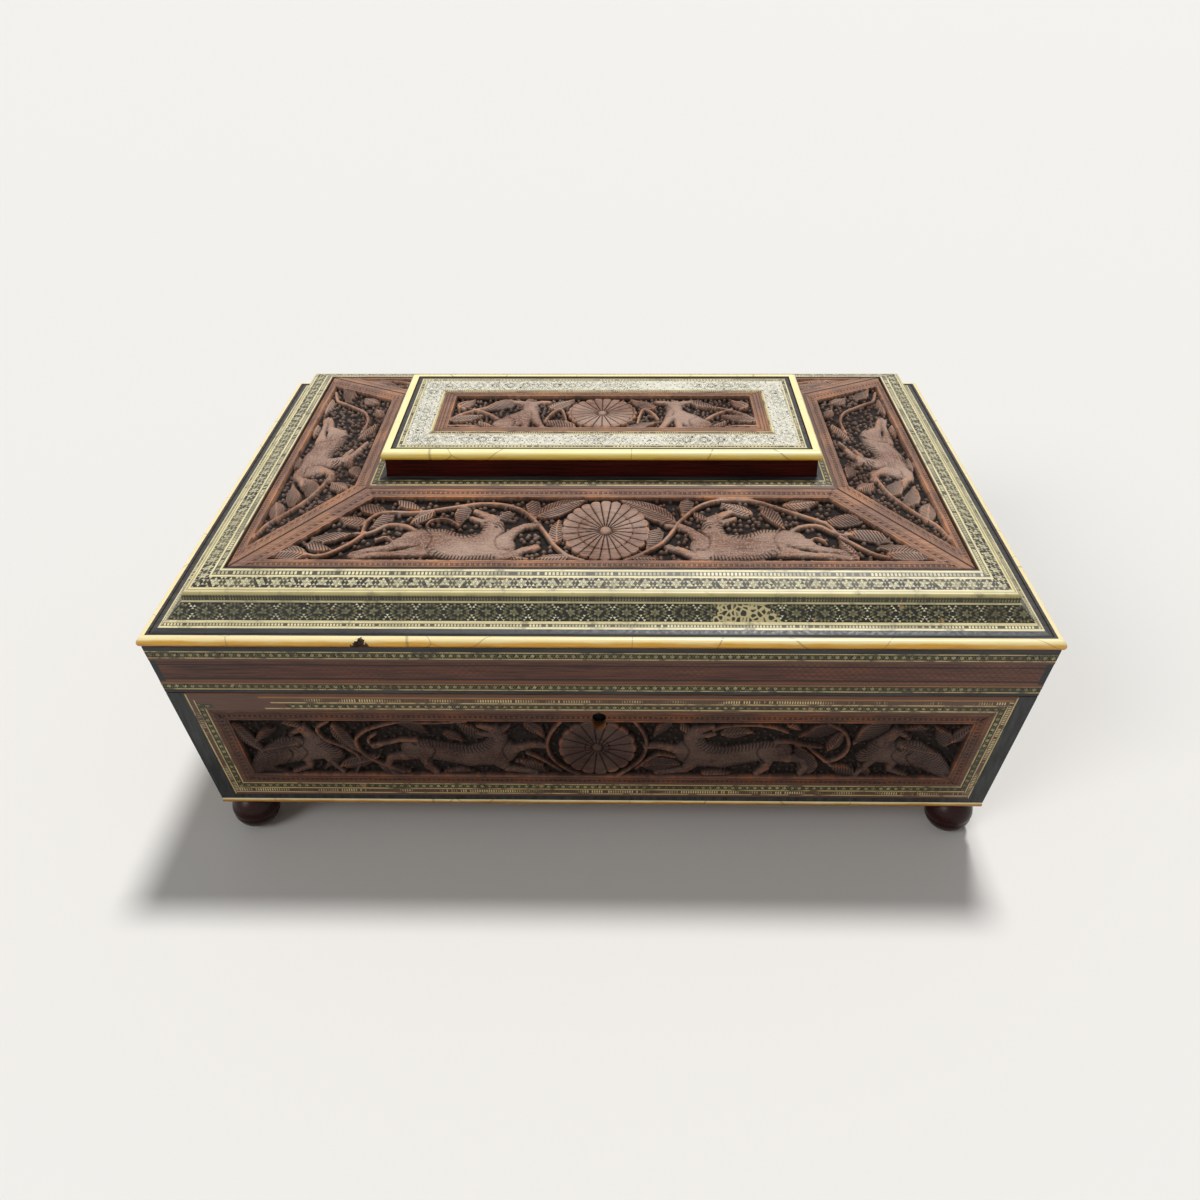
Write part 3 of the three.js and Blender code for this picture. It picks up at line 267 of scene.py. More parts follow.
# Ball feet: four rosewood balls turned with a tenon that is glued into the bottom board.
# French-polished dark red brown, with a scored line and a small collar under the board.
polished_rosewood = planed_wood("polished_rosewood", "#140504", "#35100b", 0.3, (260, 1500, 1500), 0.2)
foot_x, foot_y, foot_radius, foot_height, foot_flat = 122.288, 84.588, 8.2, 14.8, 2.4
collar_angle, foot_rings, foot_sides, tenon_top = math.radians(141), 26, 48, 19.3


def object_from(name, points, faces, materials, picks=None, uv=None, sharp=40):
    """A mesh object from points in millimetres; picks is a material index and uv a pair for each corner."""
    mesh = bpy.data.meshes.new(name)
    mesh.from_pydata([tuple(float(c) * mm for c in p) for p in points], [], faces)
    for material in materials:
        mesh.materials.append(material)
    if picks is not None:
        mesh.polygons.foreach_set("material_index", picks)
    if uv is not None:
        mesh.uv_layers.new(name="run").data.foreach_set("uv", np.asarray(uv, np.float32).ravel())
    mesh.polygons.foreach_set("use_smooth", [True] * len(mesh.polygons))
    mesh.set_sharp_from_angle(angle=math.radians(sharp))
    mesh.validate()
    return put(name, mesh)


def turned(profile, segments, centre):
    """Points and faces of a turned piece whose profile runs from axis to axis, upright at a point."""
    (cx, cy), inner = centre, profile[1:-1]
    points = [(cx, cy, profile[0][1])]
    for radius, height in inner:
        for angle in np.arange(segments) * 2 * math.pi / segments:
            points.append((cx + radius * math.cos(angle), cy + radius * math.sin(angle), height))
    points.append((cx, cy, profile[-1][1]))
    last, top = len(points) - 1, 1 + (len(inner) - 1) * segments
    faces = []
    for i in range(segments):
        j = (i + 1) % segments
        faces.append((0, 1 + j, 1 + i))
        for low in range(1, top, segments):
            faces.append((low + i, low + j, low + segments + j, low + segments + i))
        faces.append((last, top + i, top + j))
    return points, faces


foot_profile = [(0, 0), (foot_flat, 0.0)]
flat_angle = math.asin(foot_flat / foot_radius)
centre_height = math.sqrt(foot_radius ** 2 - foot_flat ** 2)
for step in range(1, foot_rings + 1):
    angle = flat_angle + step * (collar_angle - flat_angle) / foot_rings
    scored = 0.22 if step in (13, 14) else 0.0
    height = centre_height - foot_radius * math.cos(angle)
    foot_profile.append((foot_radius * math.sin(angle) - scored, height))
foot_profile += [(5.3, 14.2), (5.7, 14.35), (5.7, foot_height)]
foot_profile += [(3, foot_height), (3, tenon_top), (0, tenon_top)]
for side_x, sx in (("left", -1), ("right", 1)):
    for side_y, sy in (("front", -1), ("back", 1)):
        points, faces = turned(foot_profile, foot_sides, (sx * foot_x, sy * foot_y))
        foot = object_from(f"ball_foot_{side_y}_{side_x}", points, faces, [polished_rosewood])
        belong(foot, "base", "rosewood", f"foot_{side_y}_{side_x}")


# Walls of the base: planed sandalwood boards, mitred at the corners, that lean outwards.
# Their faces are hidden by the carving and mosaic; the insides and the tray's ledges show.
for side_name, grain_finish in (("front", planed_sandalwood), ("back", planed_sandalwood),
                                ("left", planed_sandalwood_across), ("right", planed_sandalwood_across)):
    finish_node(f"base_{side_name}_wall", grain_finish)


# Carved panels of the base: sandalwood boards 3.5 mm thick, cut down 2.4 mm to a dark ground
# and left standing as running beasts, vines and leaves round a rosette, inside a pricked frame.
def carved_wood(name, dark, face, dusty, edge, edge_share, framed, full, gloss, sheen):
    """Carved wood: low ground darkened as part soot, part painted shade, brown faces, rubbed edges; reads how
    high each point stands.

    Where fur is below zero the board is left flat as the frame, in its own tone."""
    made = begin(name)
    run = run_of(made)
    rise, worn, fur, cut, phase = [
        Value(made, add(made, "Attribute", attribute_name=key).outputs["Fac"])
        for key in ("rise", "worn", "fur", "cut", "phase")]
    grain = run.stretched((0.12, 2.4, 1)).noise(1.0, 5.0, 0.65)
    patches = run.noise(0.05, 3.0)
    specks = run.cells(1.25)
    fine = run.noise(1.1, 5.0, 0.7)
    hairy = fur.maths("MAXIMUM", 0.0)
    flat = fur.maths("MULTIPLY", -0.85, use_clamp=True)
    furry = specks.ease(0.15, 0.5, 0.45, 0.0) * hairy
    coat = furry.blend(grain.ramp((0.34, dark), (0.66, face)), dusty)
    warm = patches.ease(0.4, 0.62, 0.0, 0.55).blend(coat, dusty)
    plain = patches.ease(0.45, 0.66, 0.0, 0.5).blend(framed, edge)
    boarded = flat.blend(warm, grain.ease(0.36, 0.66, 0.5, 1.2).shade(plain))
    # Part soot, part painted shade: the lower a point reads, up to full, the nearer its colour goes to
    # near-black.
    low = rise.ease(0.16, full)
    soot_and_painted_shade = low.blend(fine.ease(0.35, 0.75).blend("#070504", "#2b1f19"), boarded)
    edged = patches.ease(0.38, 0.62, 0.25, 1.0) * worn.ease(0.25, 0.85, 0.0, edge_share)
    ratio = phase.maths("PINGPONG", 0.5).maths("DIVIDE", cut.maths("MAXIMUM", 0.002))
    lined = ratio.ease(0.4, 1.0, 1.0, 0.0) * cut.above(0.01)
    tone = (lined * (flat * -0.4 + 0.86)).blend(edged.blend(soot_and_painted_shade, edge), "#160d0a")
    height = lined * -1.4 + (specks * hairy * -1.1 + fine)
    return finish(made, tone, low.ease(0.0, 1.0, 0.85, gloss), (height, 0.8, 0.0003), sheen)


# The base panels' carved wood: darker than the slopes' copy, partly as less worn wood and partly as painted
# shade on faces turned from the high light.
carved_dark_and_shaded = carved_wood("carved_sandalwood_dark_and_shaded", "#1c0e0b", "#523328", "#6b554b", "#9c5830", 0.5,
                          "#5f4032", 1.0, 0.36, 0.22)
flare, slope_rise = 0.12, 0.2215
lean, hip = math.atan(flare), math.atan(slope_rise)
lid_edge, edge_inset, seam_level, base_height = 87.4, 0.9, 67.7, 52.9
relief_depth, prick_at, prick_pitch = 2.4, 2.15, 1.65
long_half, short_half = 140.0, 101.0
cut_marks = ("fur", "cut", "phase")
sides = {name: {"run": run, "out": out, "turn": turn} for name, run, out, turn in (
    ("front", long_half, short_half, 0.0), ("right", short_half, long_half, math.pi / 2),
    ("back", long_half, short_half, math.pi), ("left", short_half, long_half, -math.pi / 2))}


def face_inset(z):
    """How far in from the lid's edge the sloping outer face lies at a height."""
    return edge_inset + (lid_edge - z) * flare


def on_plane(tilt, origin, turn):
    """Places (along, depth, up) of a flat face in the frame of the box."""
    def place(along, depth, up):
        y = depth * math.cos(tilt) - up * math.sin(tilt) + origin[0]
        z = depth * math.sin(tilt) + up * math.cos(tilt) + origin[1]
        return np.stack([
            along * math.cos(turn) - y * math.sin(turn),
            along * math.sin(turn) + y * math.cos(turn),
            z + 0 * along,
        ], axis=-1)
    return place


def base_face(side):
    """The outer face of a base side, whose heights count along it from the seam."""
    place = on_plane(lean, (face_inset(foot_height) - side["out"], foot_height), side["turn"])
    return lambda along, depth, up: place(along, depth, up + base_height / math.cos(lean))


def base_point(side, drop, margin):
    """Half width and height on a base face, so far below the seam and in from the corner."""
    return side["run"] - face_inset(seam_level - drop) - margin, -drop / math.cos(lean)


def base_outline(side, low_drop, high_drop, margin):
    """Low, high and the half widths there of a field on a base face."""
    (half_low, low), (half_high, high) = (base_point(side, drop, margin) for drop in (low_drop, high_drop))
    return low, high, half_low, half_high


def smooth_line(points, steps=8):
    """A rounded line through the points."""
    p = np.array([points[0]] + list(points) + [points[-1]], float)
    t = np.linspace(0, 1, steps, endpoint=False)[:, None]
    parts = []
    for a, b, c, d in zip(p, p[1:], p[2:], p[3:]):
        bend, twist = 2 * a - 5 * b + 4 * c - d, 3 * b - a - 3 * c + d
        parts.append(0.5 * (2 * b + (c - a) * t + bend * t ** 2 + twist * t ** 3))
    return np.vstack(parts + [p[-1:]])


def near(field, line, margin):
    """The field's points round a line, with their distance from it, place along it (mm) and side."""
    low = line[:, :2].min(0) - margin
    high = line[:, :2].max(0) + margin
    x, y = field["x"], field["y"]
    spot = np.nonzero((x > low[0]) & (x < high[0]) & (y > low[1]) & (y < high[1]))[0]
    best = np.full(spot.size, 1e9)
    run = np.zeros(spot.size)
    hand = np.ones(spot.size)
    px, py = x[spot], y[spot]
    gone = 0.0
    for (ax, ay), (bx, by) in zip(line[:-1, :2], line[1:, :2]):
        dx, dy = bx - ax, by - ay
        length = math.hypot(dx, dy)
        if length < 1e-6:
            continue
        t = np.clip(((px - ax) * dx + (py - ay) * dy) / length ** 2, 0, 1)
        ox, oy = px - ax - t * dx, py - ay - t * dy
        d = np.hypot(ox, oy)
        closer = d < best
        best = np.where(closer, d, best)
        run = np.where(closer, gone + t * length, run)
        hand = np.where(closer, np.sign(dx * oy - dy * ox), hand)
        gone += length
    return spot, best, run, hand, gone


def ridge(distance, width):
    """A rounded ridge or groove, one high in its middle."""
    return np.exp(-(distance / width) ** 2)


def lay(field, spot, height, cut=0.0, phase=0.0, fur=0.0):
    """Joins a shape to the field where it stands higher."""
    win = height > field["h"][spot]
    field["h"][spot] = np.where(win, height, field["h"][spot])
    for key, value in (("cut", cut), ("phase", phase), ("fur", fur)):
        field[key][spot] = np.where(win, value, field[key][spot])


def stem(field, points, wide_from, wide_to, top=-0.3):
    """A stem or tail along a line, round with a flat top, tapering from one width to another."""
    spot, d, run, _, length = near(field, smooth_line(points), 3)
    half = 0.78 * (wide_from + (wide_to - wide_from) * run / length) / 2
    q = np.minimum(d / half, 1)
    lay(field, spot, top - 0.55 * half * (1 - np.sqrt(1 - q * q)) - np.maximum(d - half, 0) * 9)


def leaf(field, base, tip, width, bend=0.0):
    """A leaf cut with thin lines: either a blade tilted to one side, or a rib with lines to both sides."""
    top, pitch = -0.12, 1.1
    base, tip = np.array(base, float), np.array(tip, float)
    length = np.hypot(*(tip - base))
    middle = (base + tip) / 2 + np.array([base[1] - tip[1], tip[0] - base[0]]) / length * bend
    t = np.linspace(0, 1, 15)[:, None]
    line = (1 - t) ** 2 * base + 2 * t * (1 - t) * middle + t ** 2 * tip
    spot, d, run, hand, total = near(field, line, width)
    t = np.clip(run / total, 0.001, 0.999)
    blade = int(abs(base[0]) * 7 + tip[1] * 3) % 2 == 0
    if blade:
        end = t + 0.16 * hand * d / width
        half = width / 2 * np.clip(t / 0.5, 0.12, 1) ** 0.7 * np.clip((1.0 - end) / 0.14, 0, 1) ** 0.5 + 0.08
    else:
        half = np.maximum(width / 2 * np.sin(math.pi * t ** 0.8) ** 0.75, 0.12)
    q = np.minimum(d / half, 1)
    if blade:
        height = top - 0.4 + 0.4 * q * hand - 0.25 * q ** 2 - 0.3 * t
        phase = (run + 0.75 * hand * d) / pitch
    else:
        height = top - 0.6 * q ** 1.6 - 0.35 * t + 0.16 * ridge(d, 0.3)
        phase = (run - 0.9 * d) / pitch
    height += 0.16 * ridge(q - 0.92, 0.1) - np.maximum(d - half, 0) * 9
    inner = (q < 0.84) & (t > 0.05) & (t < 0.93) & (blade | (d > 0.25))
    lay(field, spot, height, np.where(inner, 0.27, 0.0), phase)


def rosette(field, cx, cy, radius, petals, tier):
    """A flower of scalloped petals parted by fine cuts, in one or two tiers, round a ringed button."""
    spot = np.nonzero(np.hypot(field["x"] - cx, field["y"] - cy) < radius + 1.5)[0]
    x, y = field["x"][spot] - cx, field["y"][spot] - cy
    r = np.hypot(x, y)
    turn = np.arctan2(y, x) * petals / (2 * math.pi)
    side = 2 * np.abs(turn - np.round(turn))
    rim = radius * (1 - 0.065 * side ** 3)
    petal_width = np.maximum(r, 0.5) * 2 * math.pi / petals
    gap = (1 - side) * petal_width / 2
    tier_rim = radius * tier * (1 - 0.05 * side ** 3)
    height = -0.7 + 0.3 * (r / radius) - 0.1 * side ** 2
    height += np.where(r < tier_rim, 0.16, -0.4 * ridge(r - tier_rim, 0.3))
    height -= 0.32 * ridge(gap, 0.2) * np.clip((r - 0.1 * radius) / 1.5, 0, 1)
    height += 0.24 * ridge(r - rim + 0.45, 0.3)
    button = 0.125 * radius
    height = np.where(r < button, 0.0 - 0.45 * (r / button) ** 2, height)
    height -= 0.6 * ridge(r - button - 0.3, 0.28)
    height -= np.maximum(r - rim, 0) * 9
    cut = np.where((r > button + 0.5) & (r < rim - 0.25), 0.2 / petal_width, 0.0)
    lay(field, spot, height, cut, turn + 0.5, 0.0)


def flesh(field, chains):
    """A beast's body: chains of round lumps (x, y, radius) that flow into each other."""
    swell = np.full(field["x"].size, -9.0)
    for chain in chains:
        for (ax, ay, ar), (bx, by, br) in zip(chain, chain[1:]):
            dx, dy = bx - ax, by - ay
            t = np.clip(((field["x"] - ax) * dx + (field["y"] - ay) * dy) / (dx * dx + dy * dy), 0, 1)
            radius = ar + (br - ar) * t
            d = np.hypot(field["x"] - ax - t * dx, field["y"] - ay - t * dy)
            q = np.minimum(d / radius, 1)
            depth = np.minimum(radius * 0.62, 1.3)
            lump = -0.2 - 0.25 * (radius < 2) - depth * (1 - np.sqrt(1 - q * q))
            lump -= np.maximum(d - radius, 0) * 7
            mix = np.clip(0.5 + 0.5 * (lump - swell) / 0.3, 0, 1)
            swell = swell + (lump - swell) * mix + 0.3 * mix * (1 - mix)
    swell = np.minimum(swell, -0.05) + 0.05 * field["grit"] * (swell > -1.9)
    lay(field, slice(None), swell, 0.0, 0.0, 1.0)


def score(field, points):
    """A line cut with the veiner, as between a thigh and the belly."""
    spot, d, _, _, _ = near(field, smooth_line(points), 2)
    field["h"][spot] -= 0.5 * ridge(d, 0.32) * (field["h"][spot] > -1.9)


def comb(field, points, reach):
    """A row of short cuts square to a line, as for a mane, a feather or hair along the back."""
    spot, d, run, _, _ = near(field, smooth_line(points), reach)
    part = (d < reach) & (field["fur"][spot] > 0.5) & (field["h"][spot] > -1.7)
    field["phase"][spot] = np.where(part, (run + 0.35 * d) / 1.15, field["phase"][spot])
    field["cut"][spot] = np.where(part, 0.3 * np.clip(1.3 - d / reach, 0.4, 1), field["cut"][spot])


def pebbles(field, seed, spacing=2.05, top=-1.15):
    """Small lumps left standing on most of the ground, each a little off its place in the row."""
    columns, rows = 160, 60
    chance = np.random.default_rng(seed)
    shift_x, shift_y, big = chance.uniform(-0.34, 0.34, (3, columns, rows))
    column, row = (np.floor(field[key] / spacing).astype(int) for key in ("x", "y"))
    for i in (-1, 0, 1):
        for j in (-1, 0, 1):
            a, b = (column + i) % columns, (row + j) % rows
            away_x = field["x"] / spacing - column - i - 0.5 - shift_x[a, b]
            away_y = field["y"] / spacing - row - j - 0.5 - shift_y[a, b]
            d = np.hypot(away_x, away_y) / (0.44 + 0.42 * big[a, b])
            lay(field, slice(None), top - 0.9 * big[a, b] - 0.75 * d ** 2 - 9 * (big[a, b] > 0.13))


def moved(chain, mirror=None, shift=(0, 0)):
    """A chain of points shifted, then mirrored about an upright line."""
    flip, base = (1, 0) if mirror is None else (-1, 2 * mirror)
    return [(base + flip * (p[0] + shift[0]), p[1] + shift[1], *p[2:]) for p in chain]


running_beast = {
    "flesh": [
        [(-61, 14.8, 3.4), (-57, 14.2, 5.4), (-52, 13, 6.7), (-45, 10.6, 6.1), (-38, 10.8, 6.4),
         (-33, 11, 6.1)], [(-35, 14, 5), (-34.6, 19.5, 3.7), (-34.8, 22.6, 3.3)],
        [(-35.6, 24.2, 2.2), (-38.4, 26.2, 1.5), (-41, 27.8, 1)],
        [(-36.2, 21.8, 1.6), (-39.5, 23.2, 1.1), (-42.1, 24.4, 0.8)],
        [(-31, 14, 2.8), (-27.5, 18.5, 1.6), (-24.5, 20.6, 1.2), (-20.2, 21.4, 1.3)],
        [(-33, 7, 3), (-28.5, 6.5, 1.9), (-24.5, 9.2, 1.3), (-20.2, 10.8, 1.3)],
        [(-59, 13, 4.5), (-64, 12.5, 2.7), (-67.5, 10.2, 1.6), (-74, 8.9, 1.1), (-79, 6.8, 1.3)],
        [(-57, 9, 3), (-63, 7.6, 1.5), (-72, 7, 1), (-77.5, 5.6, 1.1)],
    ],
    "score": [
        [(-56.5, 19), (-54, 14), (-55.5, 9)], [(-58, 10.8), (-63, 9.6), (-67, 8.3)],
        [(-30.5, 18), (-33.5, 14), (-32.5, 9.5), (-29, 9.3)], [(-38.6, 24.2), (-42.4, 26.2)],
        [(-37, 22.5), (-35.5, 22)], [(-22.5, 21.4), (-19.4, 21.9)], [(-22.5, 10.9), (-19.2, 11.2)],
        [(-80, 7.2), (-77.4, 7.4)],
    ],
    "comb": [
        ([(-37.5, 21.5), (-39.2, 18.8), (-42, 16.6), (-46, 17), (-50, 19), (-56, 19.6)], 2.4),
        ([(-33.5, 5.2), (-40, 4.6), (-48, 5), (-53, 7.4)], 1.7), ([(-33.5, 19.5), (-31.8, 22)], 2.2),
    ],
    "leaves": [((-33.8, 23.2), (-29, 27.2), 2.8)],
    "eye": (-36.2, 25),
    "tail": [(-60, 18.2), (-63, 20.3), (-67, 21.1), (-70, 20.4), (-73, 18), (-76, 16.5), (-79, 16.7)],
}


def beast(field, made, mirror=None, shift=(0, 0), tail=True):
    """A beast or bird from its tail, lumps, cuts, ears and eye."""
    if tail and made.get("tail"):
        stem(field, moved(made["tail"], mirror, shift), 2.0, 1.3, -0.4)
    flesh(field, [moved(chain, mirror, shift) for chain in made["flesh"]])
    for line, reach in made["comb"]:
        comb(field, moved(line, mirror, shift), reach)
    for line in made["score"]:
        score(field, moved(line, mirror, shift))
    for base, tip, width in made["leaves"]:
        a, b = moved([base, tip], mirror, shift)
        leaf(field, a, b, width)
        spot = np.hypot(field["x"] - a[0], field["y"] - a[1]) < 1.2
        field["cut"][spot] = 0.0
    (ex, ey), = moved([made["eye"]], mirror, shift)
    d = np.hypot(field["x"] - ex, field["y"] - ey)
    field["h"] += np.where(d < 1.6, 0.25 * ridge(d - 0.75, 0.22) - 0.35 * ridge(d, 0.35), 0)


def mirrored(shapes, about):
    """Stems and leaves mirrored about an upright line."""
    stems = [(moved(points, about), a, b) for points, a, b in shapes["stems"]]
    leaves = [(*moved([s[0], s[1]], about), s[2], -s[3] if len(s) > 3 else 0) for s in shapes["leaves"]]
    return {"stems": stems, "leaves": leaves}


def grow(field, *lists):
    """Carves the stems, then the leaves, of each list."""
    for shapes in lists:
        for points, wide_from, wide_to in shapes["stems"]:
            stem(field, points, wide_from, wide_to)
        for shape in shapes["leaves"]:
            leaf(field, *shape)


def evened(heights, reach, times):
    """Heights averaged with the four points a reach away, several times."""
    span, inner = 2 * reach, slice(reach, -reach)
    for _ in range(times):
        p = np.pad(heights, reach, mode="edge")
        heights = (p[:-span, inner] + p[span:, inner] + p[inner, :-span] + p[inner, span:] + heights) / 5
    return heights


def carve(name, place, board, sunk, draw, pitch, thickness, wood, edge=0.0, mitre=0.0, ledge=None, hole=None,
          reeds=0):
    """A board with its relief; board and sunk field give low, high and the half widths there."""
    low, high, half_low, half_high = board
    rows = int(round((high - low) / pitch)) + 1
    columns = int(round(2 * half_low / pitch)) + 1
    up = np.linspace(low, high, rows)
    half = half_low + (half_high - half_low) * (up - low) / (high - low)
    x = np.linspace(-1, 1, columns)[None, :] * half[:, None]
    y = np.repeat(up[:, None], columns, axis=1)
    sunk_low, sunk_high, sunk_half, sunk_half_high = sunk
    rate = (sunk_half_high - sunk_half) / (sunk_high - sunk_low)
    side_gap = (sunk_half + rate * (y - sunk_low) - np.abs(x)) / math.hypot(1, rate)
    ends = np.minimum(y - sunk_low, sunk_high - y)
    inside = np.minimum(ends, side_gap)
    step = np.clip(inside / 0.35, 0, 1)
    ground = -relief_depth * step * step * (3 - 2 * step)
    chance = np.random.default_rng(len(name))
    coarse = chance.normal(0, 1, (rows // 4 + 3, columns // 4 + 3))
    rough = np.kron(coarse, np.ones((4, 4)))[:rows, :columns]
    rough = sum([np.roll(rough, by, way) for by in (1, 2) for way in (0, 1)], rough) / 5
    field = {"x": x.ravel(), "y": y.ravel(), "h": (ground + 0.12 * rough * step).ravel()}
    field["grit"] = chance.normal(0, 1, x.size)
    for key in cut_marks:
        field[key] = np.zeros(x.size)
    draw(field)
    height = np.where(inside > 0.0, field["h"].reshape(x.shape), ground)
    for key in cut_marks:
        field[key][(inside <= 0.1).ravel()] = 0.0

    # The frame round the sunk field: a pricked line or reeds, two scored lines and a mitre's joint.
    run = np.where(side_gap < ends, y, x)
    if reeds:
        marked = (inside < -0.3) & (inside > -3.9)
        phase, cut = inside / reeds, 0.16
    else:
        marked = (np.abs(inside + prick_at) < 0.55) & (inside < -1.2)
        phase, cut = run / prick_pitch, 0.3
    field["phase"] = np.where(marked.ravel(), phase.ravel(), field["phase"])
    field["cut"] = np.where(marked.ravel(), cut, field["cut"])
    field["fur"] = np.where((inside < 0.05).ravel(), -1.0, field["fur"])
    prick = np.minimum(np.abs(inside + prick_at) / 0.45, 1)
    height -= 0.2 * (1 - prick ** 2) * (0.5 + 0.5 * np.cos(2 * math.pi * run / prick_pitch)) * (inside < -1.2)
    scored = ridge(inside + 0.75, 0.2) + ridge(inside + 3.4, 0.2)
    scored = np.maximum(scored, ridge(side_gap - ends, 0.24) * (inside < -0.2))
    height -= 0.16 * scored
    if edge:
        rim = np.minimum(np.minimum(y - low, high - y), half[:, None] - np.abs(x))
        height -= 0.3 * ridge(rim, edge)
    if ledge:
        height = np.where(y > ledge, -1.25, height)
    height = np.clip(height, 0.4 - thickness, 0)

    # What the wood's finish reads: where it is rubbed, and how high it stands out of soot and painted shade.
    blur = evened(height, 1, 3)
    wide = evened(blur, 2, 10)
    worn = np.clip((height - wide) / 0.55, 0, 1) * np.clip(1 + height / 1.6, 0, 1) * (inside > -0.6)
    worn = worn * np.clip(0.75 + 0.5 * rough, 0, 1)
    hollow = np.clip((wide - height) / 0.8, 0, 1)
    # Painted shade: points in hollows, in the scored lines and along a slope board's rim read lower, so they
    # are coloured darker.
    rise = np.clip(1 + height / relief_depth, 0, 1) * (1 - 0.6 * hollow) * (1 - 0.5 * scored * (inside < 0.1))
    if edge:
        rise = rise * (1 - 0.85 * ridge(rim, 0.5))
    marks = {"rise": rise.ravel(), "worn": worn.ravel(), **{key: field[key] for key in cut_marks}}
    return solid_board(name, place, x, y, height, half, pitch, thickness, mitre, hole, marks, wood)


def solid_board(name, place, x, y, height, half, pitch, thickness, mitre, hole, marks, wood):
    """A closed mesh of a carved face, its edges and its back, with a hole through it or none."""
    rows, columns = x.shape
    if hole:
        gap, away_x, away_y = hole(x, y)
        close = np.abs(gap) < pitch
        x = np.where(close, x - gap * away_x, x)
        y = np.where(close, y - gap * away_y, y)
    x, y = x.ravel(), y.ravel()
    rim_index = np.concatenate([
        np.arange(columns), np.arange(1, rows) * columns + columns - 1,
        (rows - 1) * columns + np.arange(columns - 2, -1, -1), np.arange(rows - 2, 0, -1) * columns,
    ])
    narrower = x[rim_index] * (1 - mitre / np.repeat(half, columns)[rim_index])
    back = place(narrower, np.full(rim_index.size, thickness), y[rim_index])
    i, j = np.meshgrid(np.arange(rows - 1), np.arange(columns - 1), indexing="ij")
    a = (i * columns + j).ravel()
    quads = np.stack([a, a + 1, a + columns + 1, a + columns], axis=1)
    count = rim_index.size
    ring = np.arange(count)
    wall = np.stack([rim_index, ring + x.size, (ring + 1) % count + x.size, np.roll(rim_index, -1)], axis=1)
    if hole:
        gone = gap.ravel()[quads].mean(axis=1) < 0
        ways = {(int(p), int(q)) for quad in quads[gone] for p, q in zip(quad, np.roll(quad, -1))}
        after = {p: q for p, q in ways if (q, p) not in ways}
        loop = [next(iter(after))]
        while after[loop[-1]] != loop[0]:
            loop.append(after[loop[-1]])
        quads = quads[~gone]
        inner = np.arange(len(loop)) + x.size + count
        wall = np.vstack([wall, np.stack([loop, np.roll(loop, -1), np.roll(inner, -1), inner], axis=1)])
        back = np.vstack([back, place(x[loop], np.full(len(loop), thickness), y[loop])])
        fan = np.array(tessellate_polygon([[(x[k], y[k], 0) for k in part] for part in (rim_index, loop)]))
        edge_index = np.concatenate([rim_index, loop])
        corners = np.stack([x[edge_index], y[edge_index]], 1)[fan]
        first, second = corners[:, 1] - corners[:, 0], corners[:, 2] - corners[:, 0]
        facing = first[:, 0] * second[:, 1] - first[:, 1] * second[:, 0] > 0
        fan[facing] = fan[facing][:, ::-1]
        fan += x.size
    else:
        middle = (y[0] + y[-1]) / 2
        back = np.vstack([back, place(np.array([0.0]), np.array([float(thickness)]), np.array([middle]))])
        fan = np.stack([(ring + 1) % count + x.size, ring + x.size, np.full(count, x.size + count)], axis=1)
        edge_index = np.concatenate([rim_index, rim_index[:1]])
    loops = np.concatenate([quads.ravel(), wall.ravel(), fan.ravel()])
    sizes = np.concatenate([np.full(len(quads) + len(wall), 4), np.full(len(fan), 3)])
    starts = np.concatenate([[0], np.cumsum(sizes)[:-1]])
    used, loops = np.unique(loops, return_inverse=True)
    points = np.vstack([place(x, -height.ravel(), y), back])[used] * mm
    flat = np.stack([x, y], 1)
    flat = np.vstack([flat, flat[edge_index]])[used]

    mesh = bpy.data.meshes.new(name)
    mesh.vertices.add(len(points))
    mesh.vertices.foreach_set("co", points.astype(np.float32).ravel())
    mesh.loops.add(len(loops))
    mesh.loops.foreach_set("vertex_index", loops.astype(np.int32))
    mesh.polygons.add(len(sizes))
    mesh.polygons.foreach_set("loop_start", starts.astype(np.int32))
    mesh.polygons.foreach_set("use_smooth", np.ones(len(sizes), bool))
    mesh.update(calc_edges=True)
    mesh.uv_layers.new(name="run").data.foreach_set("uv", flat[loops].astype(np.float32).ravel())
    for key, values in marks.items():
        whole = np.concatenate([values, np.full(len(edge_index), 0.8 if key == "rise" else 0.0)])[used]
        mesh.attributes.new(key, "FLOAT", "POINT").data.foreach_set("value", whole.astype(np.float32))
    mesh.set_sharp_from_angle(angle=math.radians(60))
    mesh.materials.append(wood)
    mesh.materials.append(planed_sandalwood)
    carved = np.repeat([0, 1], [len(quads), len(sizes) - len(quads)])
    mesh.polygons.foreach_set("material_index", carved.astype(np.int32))
    return put(name, mesh)


